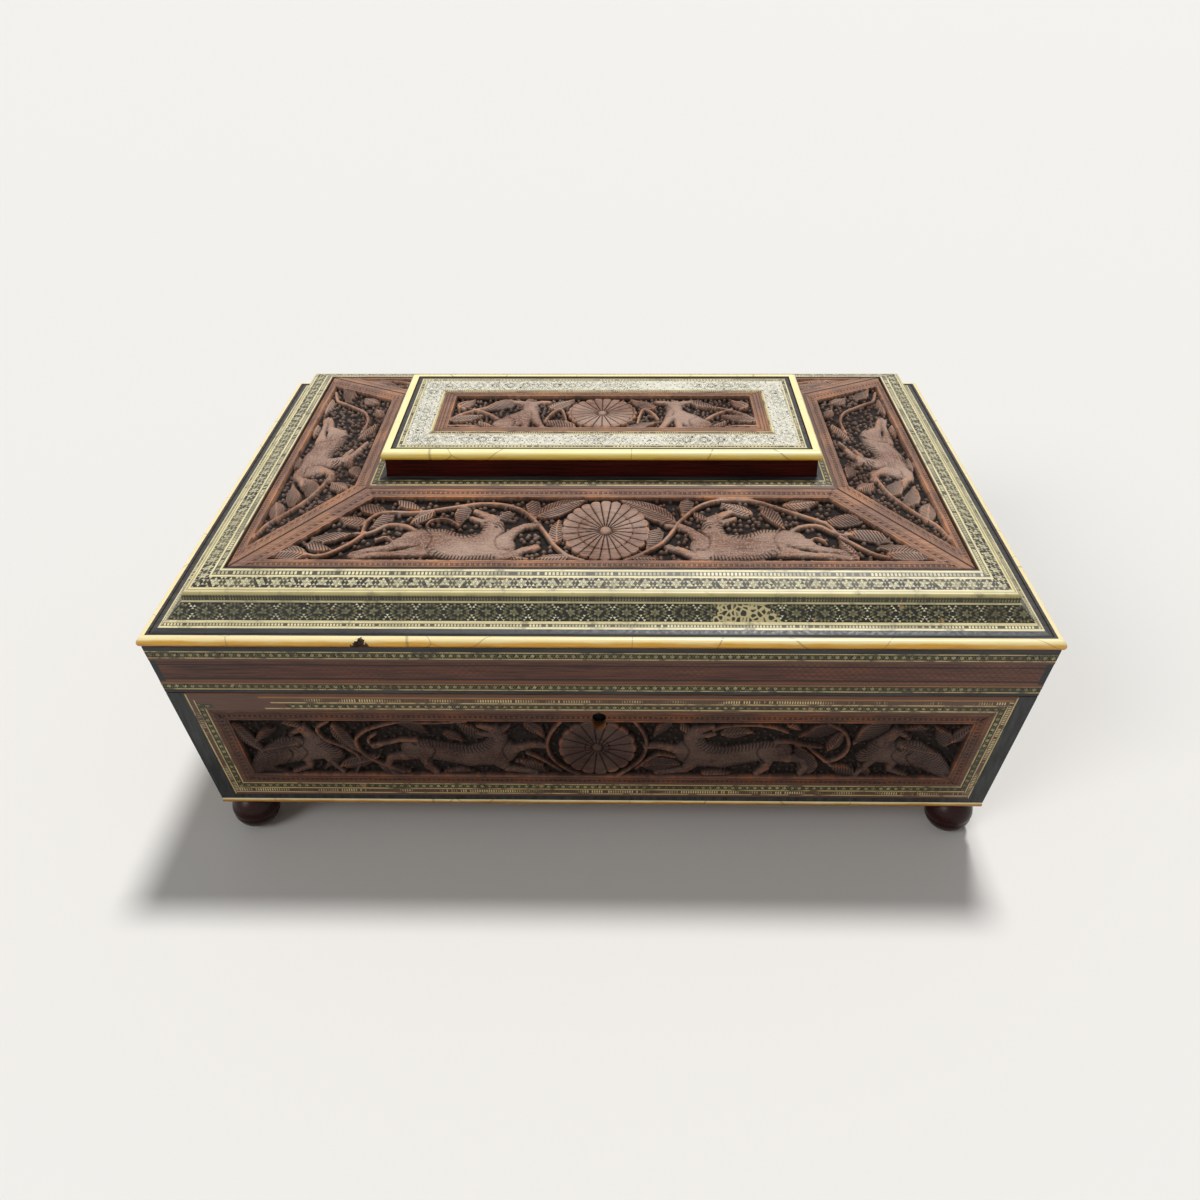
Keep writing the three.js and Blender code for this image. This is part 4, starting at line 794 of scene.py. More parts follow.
base_beast = {
    "flesh": [
        [(-61.5, -26.6, 4.4), (-56, -27, 4.8), (-50, -28.4, 4.8), (-43, -30.2, 5.1), (-37, -29, 5.8),
         (-33, -27.6, 6)], [(-34, -25, 4.6), (-33.2, -20.8, 3.2), (-33.6, -18.4, 2.8)],
        [(-34.4, -17.2, 1.9), (-37, -16.2, 1.3), (-39.2, -15.4, 0.9)],
        [(-34.8, -19.4, 1.4), (-37.6, -19.4, 1), (-39.8, -18.6, 0.8)],
        [(-29.5, -27, 2.5), (-25.5, -25.6, 1.7), (-21.5, -24.4, 1.3), (-17.8, -24.9, 1.3)],
        [(-33, -33, 2.8), (-31, -36, 1.7), (-27, -36.6, 1.2), (-21.5, -37.6, 1.2)],
        [(-60, -28, 4.2), (-64.5, -30, 2.2), (-69.5, -31, 1.5), (-71, -34.5, 1.3), (-69.6, -37.6, 1.2)],
        [(-58, -31, 2.6), (-57.6, -35, 1.6), (-55, -38, 1.2)],
    ],
    "score": [
        [(-56, -23), (-54.2, -27), (-56.5, -31.5)], [(-29.5, -22.5), (-32, -26.5), (-30.6, -31.5)],
        [(-36.5, -18.2), (-40, -17.2)],
    ],
    "comb": [
        ([(-35.2, -21), (-37.6, -24), (-42, -25.6), (-48, -24.6), (-55, -22.8), (-60, -22.4)], 2.2),
        ([(-36, -35), (-43, -35), (-50, -32.8), (-56, -31.8)], 1.6),
    ],
    "leaves": [((-32.5, -18.2), (-28.6, -14.6), 2.4)],
    "eye": (-34.6, -17),
    "tail": [(-60, -22.4), (-65, -22.3), (-70, -23.8), (-75, -24.6)],
}
base_left = {
    "stems": [
        ([(-12.5, -13), (-16, -19), (-17.2, -25), (-15.5, -31), (-11, -36), (-6, -39)], 1.5, 1.2),
        ([(-24, -28), (-20, -30.5), (-17, -33), (-13, -36.5)], 1.3, 1.1),
        ([(-43, -13), (-50, -13.6), (-57, -14), (-63, -13.2), (-70, -15), (-76, -17.5)], 1.2, 1.2),
        ([(-76, -17.5), (-80, -22), (-79, -28), (-74, -33), (-66, -37.5)], 1.5, 1.2),
        ([(-88, -13.5), (-92, -17), (-90, -22), (-84, -26), (-80, -31), (-82, -38)], 1.4, 1.1),
        ([(-73, -19), (-76, -22), (-74.5, -25.5), (-71.5, -24.5)], 1.2, 0.9),
    ],
    "leaves": [
        ((-66, -14), (-56.5, -18), 4.2, 1), ((-51, -18.2), (-44.6, -22.4), 3.6),
        ((-46, -13.6), (-38.8, -20.4), 4.6, -1), ((-24.5, -13.2), (-18, -20.6), 4.4, 1),
        ((-27.5, -32.4), (-18.6, -36.8), 4.6, 1), ((-86.5, -14.5), (-79.5, -28), 5.2, -2),
        ((-87, -34.6), (-73, -30), 4.8, -1), ((-64, -37.5), (-73.5, -36), 3.2),
        ((-52, -37.8), (-43, -37.2), 2.8), ((-119, -14), (-111, -28.5), 4.6, -2),
        ((-113.4, -24), (-106.4, -17.2), 3.2, 1), ((-103, -13.6), (-96, -16.4), 2.8),
        ((-120, -36.8), (-106, -38), 3.2), ((-92, -36), (-86, -30), 3.4),
    ],
}
base_right = {
    "stems": [
        ([(11.5, -13), (14.6, -19), (15.4, -25), (13.8, -31), (9.5, -36), (6, -39)], 1.5, 1.2),
        ([(37, -16.6), (42, -14.6), (50, -14.2), (56, -15.2), (61, -17.4)], 1.3, 1.3),
        ([(74, -13.5), (79, -17), (81.3, -22), (81, -27), (78, -30.6), (74.5, -31.4)], 1.5, 1.2),
        ([(68.5, -24.5), (72, -28.5), (77, -33.4)], 1.6, 1.2),
        ([(12, -35.4), (16, -31), (20, -28.4), (25, -29.6)], 1.2, 1),
    ],
    "leaves": [
        ((13.5, -33.6), (27, -33.2), 6.2, 1), ((39.5, -18.4), (50, -17.6), 5.2, 1),
        ((18, -19.6), (22.4, -13.2), 3.6), ((64.4, -23.6), (70.4, -37.4), 6.6, 1),
        ((65.5, -19.4), (76, -14.6), 6, -1), ((60.6, -13.8), (65.4, -16.4), 2.6),
        ((74.6, -25.8), (79, -16.8), 4.2, -1), ((83.5, -22.4), (92.4, -13.2), 6.6, 1),
        ((76.4, -33.4), (85, -38.2), 5), ((34, -37.6), (44, -37.6), 2.6),
        ((97.5, -16.2), (105.6, -15.4), 2.8), ((108.6, -15), (113.4, -23.4), 4.8, 1),
        ((114, -21.6), (120.4, -13.4), 4.4, -1), ((86, -33), (90, -38.4), 3),
    ],
}
bird = {
    "flesh": [
        [(87.5, -29, 3.2), (94, -27, 5.4), (102, -27.6, 6.2), (109, -31, 4.8), (116, -37.5, 2.6)],
        [(91, -25, 3.6), (94.6, -19.6, 2.2), (96.2, -17.2, 2)], [(97, -17.6, 1.2), (100.6, -20, 0.7)],
        [(90, -31, 1.8), (88, -34.5, 1), (85.6, -38, 0.9)],
        [(97, -31, 2.4), (96.4, -35.4, 1), (102, -37.8, 0.9)],
    ],
    "score": [[(99, -23), (96, -28), (99.5, -33)], [(103, -24), (101, -29), (104, -34)]],
    "comb": [
        ([(100, -22.6), (106, -25), (111, -29.5), (116, -36)], 5.2),
        ([(90, -22), (86.5, -26), (85.5, -30)], 3.2), ([(100, -34), (106, -36)], 2.6),
    ],
    "leaves": [((98, -23.4), (111, -27.4), 4.4)],
    "eye": (96.4, -17),
}


def draw_base_long(field):
    pebbles(field, 5, top=-1.55)
    grow(field, base_left, base_right)
    beast(field, base_beast)
    beast(field, base_beast, -1.2)
    beast(field, bird)
    beast(field, bird, -0.4)
    rosette(field, -0.7, -25.2, 12.8, 17, 0.3)


def draw_base_short(field):
    pebbles(field, 7, top=-1.55)
    grow(field, base_left, mirrored(base_left, 0.0))
    beast(field, base_beast, None, (4, 0))
    beast(field, base_beast, 0.0, (4, 0))
    rosette(field, 0, -25.2, 12.6, 17, 0.3)


def keyhole(x, y):
    """How far a point is outside the keyhole, and the way out of it."""
    centre, drop, radius = -10.57, 4.2, 2.4
    t = np.clip((centre - y) / drop, 0, 1)
    dx, dy = x, y - centre + drop * t
    d = np.maximum(np.hypot(dx, dy), 1e-6)
    return d - radius + 0.25 * t, dx / d, dy / d


for side_name, side in sides.items():
    front = side_name == "front"
    panel = carve(
        f"carved_base_panel_{side_name}", base_face(side), base_outline(side, 41.5, 7.9, 10.7),
        base_outline(side, 38.5, 12.4, 15.6),
        draw_base_long if side["run"] == long_half else draw_base_short,
        0.31 if front else 0.38, 3.5, carved_dark_and_shaded, hole=keyhole if front else None,
    )
    belong(panel, "base", "carved_sandalwood", f"base_{side_name}_carved_panel")


# Mosaic borders of the base: veneers of sadeli, thin slices of bundled rods of bone, horn and
# stained wood, glued round each panel as brown strips with cream lines, dots and small flowers.
def strip_wood(name, hexa, rough=0.5):
    """A thin strip of wood, brown with darker streaks along it."""
    made = begin(name)
    streaks = run_of(made).stretched((0.08, 1.6, 1)).noise(1.5, 5.0, 0.7)
    return finish(made, streaks.ease(0.3, 0.7, 0.55, 1.15).shade(hexa), rough)


def inlay_line(name, hexa, grime="#3c2f20", reach=(0.56, 0.72)):
    """A line of bone or pale wood, with dark nicks and short dirty lengths."""
    made = begin(name)
    dirt = place_of(made).noise(160.0, 4.0, 0.65)
    light = run_of(made).stretched((0.11, 1.2, 1)).noise(1.0, 3.0).ease(0.3, 0.7, 0.75, 1.1)
    return finish(made, dirt.ease(*reach, 0.0, 0.85).blend(light.shade(hexa), grime), 0.42)


def dotted(name, height, pitch, dot, ground, duty, dirt_at=(0.4, 0.62, 0.3)):
    """A row of small upright pieces, dot and ground in turn, set side by side."""
    made = begin(name, height)
    along, up, _ = run_of(made).parts()
    count = along * (1 / pitch)
    chance = count.then("TexWhiteNoise", {"W": count.maths("FLOOR")}, noise_dimensions="1D")
    dots = count.maths("FRACT").below(duty) * abs(up - height / 2).below(height * 0.34) * chance.above(0.1)
    clean = place_of(made).noise(90.0, 4.0).ease(dirt_at[0], dirt_at[1], 1.0, dirt_at[2])
    return finish(made, (dots * clean).blend(ground, dot), 0.42)


def sadeli(name, height, pitch, rings, tones, lost, mist_tone, misty, joints, bare=None, blots=0.68,
           touching=False):
    """Hexagonal flowers of small triangles; tones go outwards, two for each ring of triangles.

    Flowers that are touching fill their pitch, so that only small triangles are left between them.
    bare is the middle and half length of a run that has lost its slices and shows the glue; blots is
    how much of the glue shows elsewhere, less for a higher number."""
    made = begin(name, height)
    run, where = run_of(made), place_of(made)
    unit, triangle = height / (2 * rings), 0.8660
    wide = pitch * (2 * rings / pitch if touching else triangle / unit)
    waver = where.noise(260.0, 1.0).socket.node.outputs["Color"]
    shift = run.then("VectorMath", {0: waver, 1: (-0.5, -0.5, -0.5)}, operation="ADD")
    small = shift.then("VectorMath", {0: shift, "Scale": unit * 0.5}, operation="SCALE")
    along, up, _ = run.then("VectorMath", {0: run, 1: small}, operation="ADD").parts()
    count = along.maths("MULTIPLY_ADD", 1 / pitch, 0.5)
    x = count.maths("FRACT").maths("MULTIPLY_ADD", wide, -0.5 * wide)
    r = up.maths("MULTIPLY_ADD", 1 / unit, -height / 2 / unit)
    q = r.maths("MULTIPLY_ADD", -0.5, x)
    s = (q + r) * -1.0
    high = q.maths("MAXIMUM", r).maths("MAXIMUM", s)
    low = q.maths("MINIMUM", r).maths("MINIMUM", s) * -1.0
    ring = high.maths("MAXIMUM", low).maths("FLOOR")
    upright = (q.maths("FRACT") + r.maths("FRACT")).below(1.0)
    outward = upright.maths("COMPARE", high.above(low), 0.1)
    q_near, r_near, s_near = (value.maths("PINGPONG", 0.5) for value in (q, r, s))
    joint = q_near.maths("MINIMUM", r_near).maths("MINIMUM", s_near).ease(0.04, 0.13, joints, 0.0)
    index = (ring.maths("MULTIPLY_ADD", 2.0, 0.5) + outward) * (1 / len(tones))
    tone = index.ramp(*[(k / len(tones), hexa) for k, hexa in enumerate(tones)], interpolation="CONSTANT")
    which = count.maths("FLOOR").maths("MULTIPLY_ADD", 31.0, upright)
    cell = run.then("CombineXYZ", {0: q.maths("FLOOR"), 1: r.maths("FLOOR"), 2: which})
    chance = cell.then("TexWhiteNoise", {"Vector": cell}, noise_dimensions="3D")
    jointed = joint.blend(chance.ease(0.0, 1.0, 0.55, 1.15).shade(tone), "#1b1a15")
    faded = where.noise(60.0, 4.0).ease(0.42, 0.68, 0.0, misty).blend(jointed, mist_tone)
    holed = chance.above(1 - lost).blend(faded, "#1a1712")
    stains = where.noise(190.0, 3.0, 0.6)
    face = stains.ease(blots, blots + 0.03, 0.0, 0.75).blend(holed, "#9a7a52")
    if bare:
        net = run.cells(0.62, "DISTANCE_TO_EDGE").ease(0.1, 0.2, 0.85, 0.0)
        ragged = stains.maths("MULTIPLY_ADD", 22.0, run.parts()[0]) - (bare[0] + 11.0)
        face = abs(ragged).below(bare[1]).blend(face, net.blend("#2b2a20", "#bdb083"))
    return finish(made, face, 0.45, (chance, 0.25, 0.00006), 0.3)


border_wood = strip_wood("border_wood", "#5a3a2c")
tan_line = strip_wood("tan_line", "#96652c", 0.45)
bone_line = inlay_line("bone_line", "#b9a26c", reach=(0.5, 0.62))
brown_dots = dotted("brown_dots", 1.7, 0.8, "#c4b584", "#4a2f20", 0.5, (0.42, 0.56, 0.05))
black, cream, green = "#1b1a15", "#e2dab4", "#35392a"
small_tones = ["#aaa275", green, black, "#8a8459", black, "#6b6743"]
small_flowers = sadeli("small_flowers", 2.0, 2.5, 2, small_tones, 0.07, "#3b3020", 0.8, 0.4)


def loft(name, stations, run, across, picks, materials, body, slot, replaced):
    """A closed bar: a section (up its outer side first) carried along stations."""
    stations = np.asarray(stations, float)
    steps, n = stations.shape[:2]
    faces, uv, kinds = [], [], []
    for i in range(steps - 1):
        for k in range(n):
            m = (k + 1) % n
            faces.append((i * n + k, (i + 1) * n + k, (i + 1) * n + m, i * n + m))
            low, high = across[k]
            uv += [(run[i][k], low), (run[i + 1][k], low), (run[i + 1][m], high), (run[i][m], high)]
            kinds.append(picks[i][k])
    faces += [tuple(range(n)), tuple((steps - 1) * n + k for k in reversed(range(n)))]
    uv += [(0, 0)] * (2 * n)
    kinds += [len(materials) - 1] * 2
    made = object_from(name, stations.reshape(-1, 3), faces, materials, kinds, uv, 50)
    belong(made, body, slot, replaced)


def strip(name, place, outer, inner, parts, thickness, body, replaced, worn=None):
    """A flat mitred strip between two edges on a face, its bands listed from the inner edge out.

    worn is a length (from, to) where the bands are worn down to the bare wood."""
    (p0, p1), (q0, q1) = np.array(outer, float), np.array(inner, float)
    along = (p1 - p0) / np.hypot(*(p1 - p0))
    rise = p0 - q0
    if along[0] * rise[1] - along[1] * rise[0] < 0:
        p0, p1, q0, q1 = p1, p0, q1, q0
        along = -along
    widths = [w for w, _ in parts]
    at = np.concatenate([[0], np.cumsum(widths)]) / sum(widths)
    steps = max(2, int(np.hypot(*(p1 - p0)) / (2 if worn else 6)))
    stations, run = [], []
    for t in np.linspace(0, 1, steps):
        a, b = q0 + (q1 - q0) * t, p0 + (p1 - p0) * t
        flat = a + (b - a) * at[:, None]
        front = place(flat[:, 0], 0 * flat[:, 0], flat[:, 1])
        rear = place(np.array([b[0], a[0]]), np.full(2, float(thickness)), np.array([b[1], a[1]]))
        stations.append(np.vstack([front, rear]))
        places = flat @ along
        run.append([*places, places[-1], places[0]])
    kinds = list(dict.fromkeys(m for _, m in parts))
    picks = [[kinds.index(m) for _, m in parts] + [len(kinds)] * 3] * steps
    if worn:
        bare = kinds.index(border_wood)
        picks = [[bare if k < len(parts) and worn[0] < r[k] + 4 * math.sin(2.3 * k) < worn[1] else p
                  for k, p in enumerate(picks[0])] for r in run]
    across = [(0, m.get("height", w)) for w, m in parts] + [(0, 1)] * 3
    loft(name, stations, run, across, picks, kinds + [planed_sandalwood], body, "mosaic", replaced)


veneer = 1.15
border_top = [(0.8, border_wood), (0.5, bone_line), (1.6, small_flowers), (0.5, border_wood),
              (0.5, bone_line), (1.7, brown_dots), (0.7, tan_line), (1.3, border_wood)]
border_low = [(0.9, border_wood), (0.4, bone_line), (1.9, small_flowers), (0.5, bone_line),
              (1.7, brown_dots), (0.5, bone_line), (1.0, border_wood)]
border_side = [(0.4, border_wood), (0.4, bone_line), (2.0, small_flowers), (0.4, bone_line),
               (1.4, brown_dots), (0.5, bone_line)]
for side_name, side in sides.items():
    (ox, oy), (lx, ly) = (base_point(side, drop, 5.5) for drop in (0.2, 48.6))
    (ix, iy), (jx, jy) = (base_point(side, drop, 10.65) for drop in (7.8, 41.6))
    for part, outer, inner, bands in (
        ("top", ((-ox, oy), (ox, oy)), ((-ix, iy), (ix, iy)), border_top),
        ("bottom", ((-lx, ly), (lx, ly)), ((-jx, jy), (jx, jy)), border_low),
        ("left", ((-ox, oy), (-lx, ly)), ((-ix, iy), (-jx, jy)), border_side),
        ("right", ((ox, oy), (lx, ly)), ((ix, iy), (jx, jy)), border_side),
    ):
        worn = (-127, -104) if (side_name, part) == ("front", "top") else None
        strip(f"base_border_{side_name}_{part}", base_face(side), outer, inner, bands, veneer, "base",
              f"base_{side_name}_mosaic_border", worn)


# Horn edging of the base: buffalo horn sawn thin, glued on the corners and under each border;
# near black, scraped and polished, with grey streaks along it.
def horn_finish(name, grain):
    """Polished horn: dark with lighter grey streaks; grain gives streaks per metre along X, Y and Z."""
    made = begin(name)
    where = place_of(made)
    streaks = where.stretched(grain).noise(1.0, 4.0, 0.6)
    fine = where.stretched((900, 900, 240)).noise(1.0, 3.0)
    tone = streaks.ramp((0.36, "#131415"), (0.72, "#37393a"))
    return finish(made, tone, fine.ease(0.35, 0.65, 0.36, 0.52), (fine, 0.15, 0.0001), 0.35)


polished_horn = horn_finish("polished_horn", (500, 500, 45))
horn_strip = horn_finish("horn_strip", (40, 500, 500))
finish_node("base_horn_edging", polished_horn)


# Bone bead at the foot of the base: a half-round strip of bone, mitred at the corners,
# cream on top and stained amber along its lower edge.
def polished_bone(name, height, top, edge, deep):
    """Polished bone: cream, amber and wavy towards the lower edge, with fine grain marks and a few cracks."""
    made = begin(name, height)
    run = run_of(made)
    waves = run.stretched((0.07, 0.5, 1)).noise(1.0, 4.0, 0.6)
    level_of = waves.maths("MULTIPLY_ADD", height * 0.5, run.parts()[1])
    amber = level_of.ease(height * 0.82, height * 1.02, 1.0, 0.0)
    brown = level_of.ease(height * 0.58, height * 0.74, 0.85, 0.0)
    upper = waves.ease(0.3, 0.7, 0.0, 0.45).blend(top, "#e3c778")
    fine = run.stretched((0.35, 5.0, 1)).noise(1.4, 4.0, 0.7)
    marked = fine.ease(0.62, 0.72, 0.0, 0.5).blend(amber.blend(upper, brown.blend(edge, deep)), "#7a5a24")
    cracks = run.stretched((0.021, 0.02, 1)).cells(1.0, "DISTANCE_TO_EDGE").ease(0.001, 0.0045, 0.45, 0.0)
    return finish(made, cracks.blend(marked, "#4a3214"), 0.27, (fine, 0.12, 0.0001))


def split(a, b, parts):
    """Points from a towards b, one where each band of (width, material) starts."""
    total = sum(w for w, _ in parts)
    gone, points = 0, []
    for w, material in parts:
        t, reach = gone / total, (0, material.get("height", w))
        points.append((a[0] + (b[0] - a[0]) * t, a[1] + (b[1] - a[1]) * t, material, reach))
        gone += w
    return points


def moulding(name, section, body, slot, replaced, step=4.0, wobble=0.0, chip=None, front_only=None):
    """Four mitred lengths of moulding, from a section of (inset, z, material, v range).

    chip is the middle, half length and depth of a place where the front length is broken, and what
    shows there. front_only is a material of the section and what stands in its place on the front."""
    for side_name, side in sides.items():
        front = side_name == "front"
        shown = [(a, z, front_only[1] if front and front_only and m is front_only[0] else m, v)
                 for a, z, m, v in section]
        broken = chip if front else None
        mitred(f"{name}_{side_name}", side, shown, body, slot, replaced, step, wobble, broken)


def mitred(name, side, section, body, slot, replaced, step, wobble, chip):
    """One length of moulding."""
    run_half, out, cos, sin = side["run"], side["out"], math.cos(side["turn"]), math.sin(side["turn"])
    kinds = list(dict.fromkeys(p[2] for p in section)) + ([chip[3]] if chip else [])
    places = list(np.linspace(-1, 1, int(2 * run_half / step)))
    if chip:
        places = sorted(places + [(chip[0] + chip[1] * k / 8) / run_half for k in range(-8, 9)])
    stations, run, picks = [], [], []
    for t in places:
        ring_points = []
        for k, (inset, z, _, _) in enumerate(section):
            x = t * (run_half - inset)
            face = k < len(section) - 2
            push = wobble * (0.5 + 0.5 * math.sin(x * 0.21 + k) * math.sin(x * 0.063 + 2)) * face
            if chip and face:
                ragged = abs(x - chip[0]) / chip[1] + 0.2 * math.sin(4.3 * x + 2.0 * k) + 0.09 * k
                depth = max(0.0, chip[2] - inset + section[len(section) // 2][0])
                push += max(0.0, min(1.0, 2.0 * (1 - ragged))) * depth
            y = inset + push - out
            ring_points.append((x * cos - y * sin, x * sin + y * cos, z))
        stations.append(ring_points)
        run.append([t * (run_half - p[0]) for p in section])
        reach = 0
        if chip:
            reach = 9 - 7 * abs(t * run_half - chip[0] + 0.3) / chip[1] + math.sin(5 * t * run_half)
        shown = [chip[3] if k < reach and reach > 2 else p[2] for k, p in enumerate(section)]
        picks.append([kinds.index(material) for material in shown])
    materials = kinds + [planed_sandalwood]
    loft(name, stations, run, [p[3] for p in section], picks, materials, body, slot, replaced)


def half_round(name, tones, front, depth, bulge, low, high):
    """The section of a bone bead: out from its back at the bottom, round its face, back at the top."""
    middle, tall = (low + high) / 2, (high - low) / 2
    face = [(front + bulge * (1 - math.cos(angle)), middle + tall * math.sin(angle))
            for angle in np.linspace(-math.pi / 2, math.pi / 2, 11)]
    gone = [0.0]
    for a, b in zip(face, face[1:]):
        gone.append(gone[-1] + math.dist(a, b))
    bone = polished_bone(name, gone[-1], *tones)
    points = [(inset, z, bone, ends) for (inset, z), ends in zip(face, zip(gone, [*gone[1:], gone[-1] + 1]))]
    return points + [(front + depth, z, planed_sandalwood, (0, 1)) for z in (high, low)]


foot_bead = half_round("foot_bone", ("#efe2b6", "#b98228", "#7b5018"), 9.31, 2.4, 0.6, foot_height, 16.9)
moulding("base_bead", foot_bead, "base", "bone", "base_bone_edging", 4.0, 0.05)


# Lock, link plate, hinges and their metal: a filed steel lock and link plate, and brass hinges
# on steel pins, all with tarnish in patches and fine scratches.
def worn_metal(name, dark, light, low, high):
    """Bare metal with tarnish in patches and fine scratches."""
    made = begin(name)
    where = place_of(made)
    clean = where.noise(140.0, 5.0).ease(0.35, 0.65)
    fine = where.stretched((300, 2600, 2600)).noise(1.0)
    rough = clean.ease(0.0, 1.0, high, low)
    return finish(made, clean.blend(dark, light), rough, (fine, 0.2, 0.00005), metal=1.0)


filed_steel = worn_metal("filed_steel", "#4e4a45", "#8d8f92", 0.3, 0.5)
old_brass = worn_metal("old_brass", "#7b5b28", "#c39b51", 0.25, 0.42)
metals = {"steel": filed_steel, "brass": old_brass}
for entry in frame["record"]["subparts"]:
    if entry["material_slot"] in metals:
        finish_node(entry["node"], metals[entry["material_slot"]])


# Screws of the hinges, lock and link plate: countersunk wood screws, brass in the hinges and steel
# in the lock, with a filed slot, turned down flush with the metal. Each slot ended at its own angle.
def screw_tree():
    """Countersunk screws on the points of a mesh, heads up, or down with the input that turns them over."""
    tree = bpy.data.node_groups.new("countersunk_screws", "GeometryNodeTree")
    tree.interface.new_socket("Places", in_out="INPUT", socket_type="NodeSocketGeometry")
    for key, value in (("Head radius", 1.8), ("Head height", 1.0), ("Shank radius", 0.9), ("Length", 7.0),
                       ("Slot width", 0.5), ("Slot depth", 0.55)):
        size = tree.interface.new_socket(key, in_out="INPUT", socket_type="NodeSocketFloat")
        size.default_value = value * mm
    tree.interface.new_socket("Turned over", in_out="INPUT", socket_type="NodeSocketFloat")
    tree.interface.new_socket("Metal", in_out="INPUT", socket_type="NodeSocketMaterial")
    tree.interface.new_socket("Screws", in_out="OUTPUT", socket_type="NodeSocketGeometry")
    sockets = add(tree, "NodeGroupInput").outputs
    given = {socket.name: Value(tree, socket) for socket in sockets if socket.name}
    radius, thin, head = given["Head radius"], given["Shank radius"], given["Head height"]
    whole = add(tree, "GeometryNodeMeshBoolean", operation="UNION", solver="EXACT")
    for top, bottom, tall, down in ((radius, thin, head, head),
                                    (thin, thin * 0.4, given["Length"] - head, given["Length"])):
        cone = add(tree, "GeometryNodeMeshCone", {
            "Vertices": 28, "Radius Top": top, "Radius Bottom": bottom, "Depth": tall})
        at = add(tree, "CombineXYZ", {2: down * -1.0})
        placed = add(tree, "GeometryNodeTransform", {"Geometry": cone, "Translation": at})
        give(tree, whole.inputs["Mesh 2"], placed)
    size = add(tree, "CombineXYZ", {0: radius * 3.0, 1: given["Slot width"], 2: given["Slot depth"] * 2.0})
    slot_box = add(tree, "GeometryNodeMeshCube", {"Size": size})
    slotted = add(tree, "GeometryNodeMeshBoolean", {"Mesh 1": whole, "Mesh 2": slot_box},
                  operation="DIFFERENCE", solver="EXACT")
    angle = add(tree, "FunctionNodeRandomValue", data_type="FLOAT")
    for socket in angle.inputs:
        if socket.name == "Max" and socket.type == "VALUE":
            socket.default_value = math.pi
        if socket.name == "Seed":
            socket.default_value = 7
    facing = add(tree, "CombineXYZ", {0: given["Turned over"] * math.pi, 2: angle.outputs["Value"]})
    spin = add(tree, "FunctionNodeEulerToRotation", {0: facing})
    spread = add(tree, "GeometryNodeInstanceOnPoints", {
        "Points": given["Places"], "Instance": slotted, "Rotation": spin})
    made_real = add(tree, "GeometryNodeRealizeInstances", {"Geometry": spread})
    finished = add(tree, "GeometryNodeSetMaterial", {"Geometry": made_real, "Material": given["Metal"]})
    add(tree, "NodeGroupOutput", {0: finished})
    return tree


def screws_of(name, body, slot, over, *replaced):
    """Screws in the places of the solids' screws; over is one where their heads face down."""
    spots, heads = bpy.data.meshes.new(name + "_places"), []
    for a, b in map(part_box, replaced):
        heads.append(((a[0] + b[0]) / 2, (a[1] + b[1]) / 2, a[2] if over else b[2]))
    spots.from_pydata(heads, [], [])
    carrier = put(name + "_places", spots)
    modifier = carrier.modifiers.new("screws", "NODES")
    modifier.node_group = countersunk_screws
    for item in countersunk_screws.interface.items_tree:
        if item.name in ("Turned over", "Metal"):
            modifier[item.identifier] = over if item.name == "Turned over" else metals[slot]
    real = bpy.data.meshes.new_from_object(carrier.evaluated_get(bpy.context.evaluated_depsgraph_get()))
    real.name = name
    carrier.modifiers.remove(modifier)
    bpy.data.objects.remove(carrier)
    real.set_sharp_from_angle(angle=math.radians(30))
    belong(put(name, real), body, slot, *replaced)


countersunk_screws = screw_tree()
for level_name, body, over in (("lower", "base", 0.0), ("upper", "lid", 1.0)):
    screws_of(f"hinge_screws_{level_name}", body, "brass", over,
              *[f"hinge_{hinge}_{level_name}_screw_{i}" for hinge in ("left", "right") for i in (1, 2)])
screws_of("lock_screws", "base", "steel", 0.0, "lock_screw_1", "lock_screw_2")
screws_of("link_plate_screws", "lid", "steel", 1.0, "link_plate_screw_1", "link_plate_screw_2")


# Tray: thin planed sandalwood, with partitions halved into each other, lying on ledges of the
# walls. The grain of the partitions runs from front to back.
for name in ("tray_bottom", "tray_sides"):
    finish_node(name, planed_sandalwood)
finish_node("tray_partitions", planed_sandalwood_across)


# Rails of the lid: dark brown boards between the two mosaic bands of the skirt, with lines
# cut slanting across them that are nearly worn away, and an orange tone where they are rubbed.
def worn_rail(name, along, reach):
    """Dark wood with incised lines along and across it, running along X or Y, and dark horn at its ends."""
    made = begin(name)
    where = place_of(made)
    streaks = where.stretched((70, 1500, 1500) if along == "X" else (1500, 70, 1500)).noise(1.0, 5.0, 0.65)
    patches = where.noise(30.0, 3.0)
    x, y, up = where.parts()
    beside = x if along == "X" else y
    slanting = []
    for slope in (0.9, -0.9):
        count = up.maths("MULTIPLY_ADD", slope, beside) * (1 / 0.0022)
        slanting.append(count.maths("PINGPONG", 0.5).ease(0.02, 0.1, 1.0, 0.0))
    amount = slanting[0].maths("MAXIMUM", slanting[1]) * patches.ease(0.42, 0.6, 0.05, 0.6)
    for line_at in (0.0800, 0.0742):
        amount = amount.maths("MAXIMUM", abs(up - line_at).ease(0.0002, 0.0004, 0.85, 0.0))
    wood = patches.maths("MULTIPLY_ADD", 0.45, streaks * 0.85).ramp((0.46, "#230e09"), (0.82, "#6a3f2d"))
    rubbed = up.ease(0.0737, 0.0731, 0.0, 0.6).blend(amount.blend(wood, "#140907"), "#8a5426")
    horn_from = (reach - edge_inset - lid_edge * flare - 2.0) * mm
    tone = up.maths("MULTIPLY_ADD", -flare, abs(beside)).above(horn_from).blend(rubbed, "#1f2224")
    height = amount.maths("MULTIPLY_ADD", -1.0, streaks)
    return finish(made, tone, streaks.ease(0.0, 1.0, 0.35, 0.55), (height, 0.3, 0.0002), 0.35)


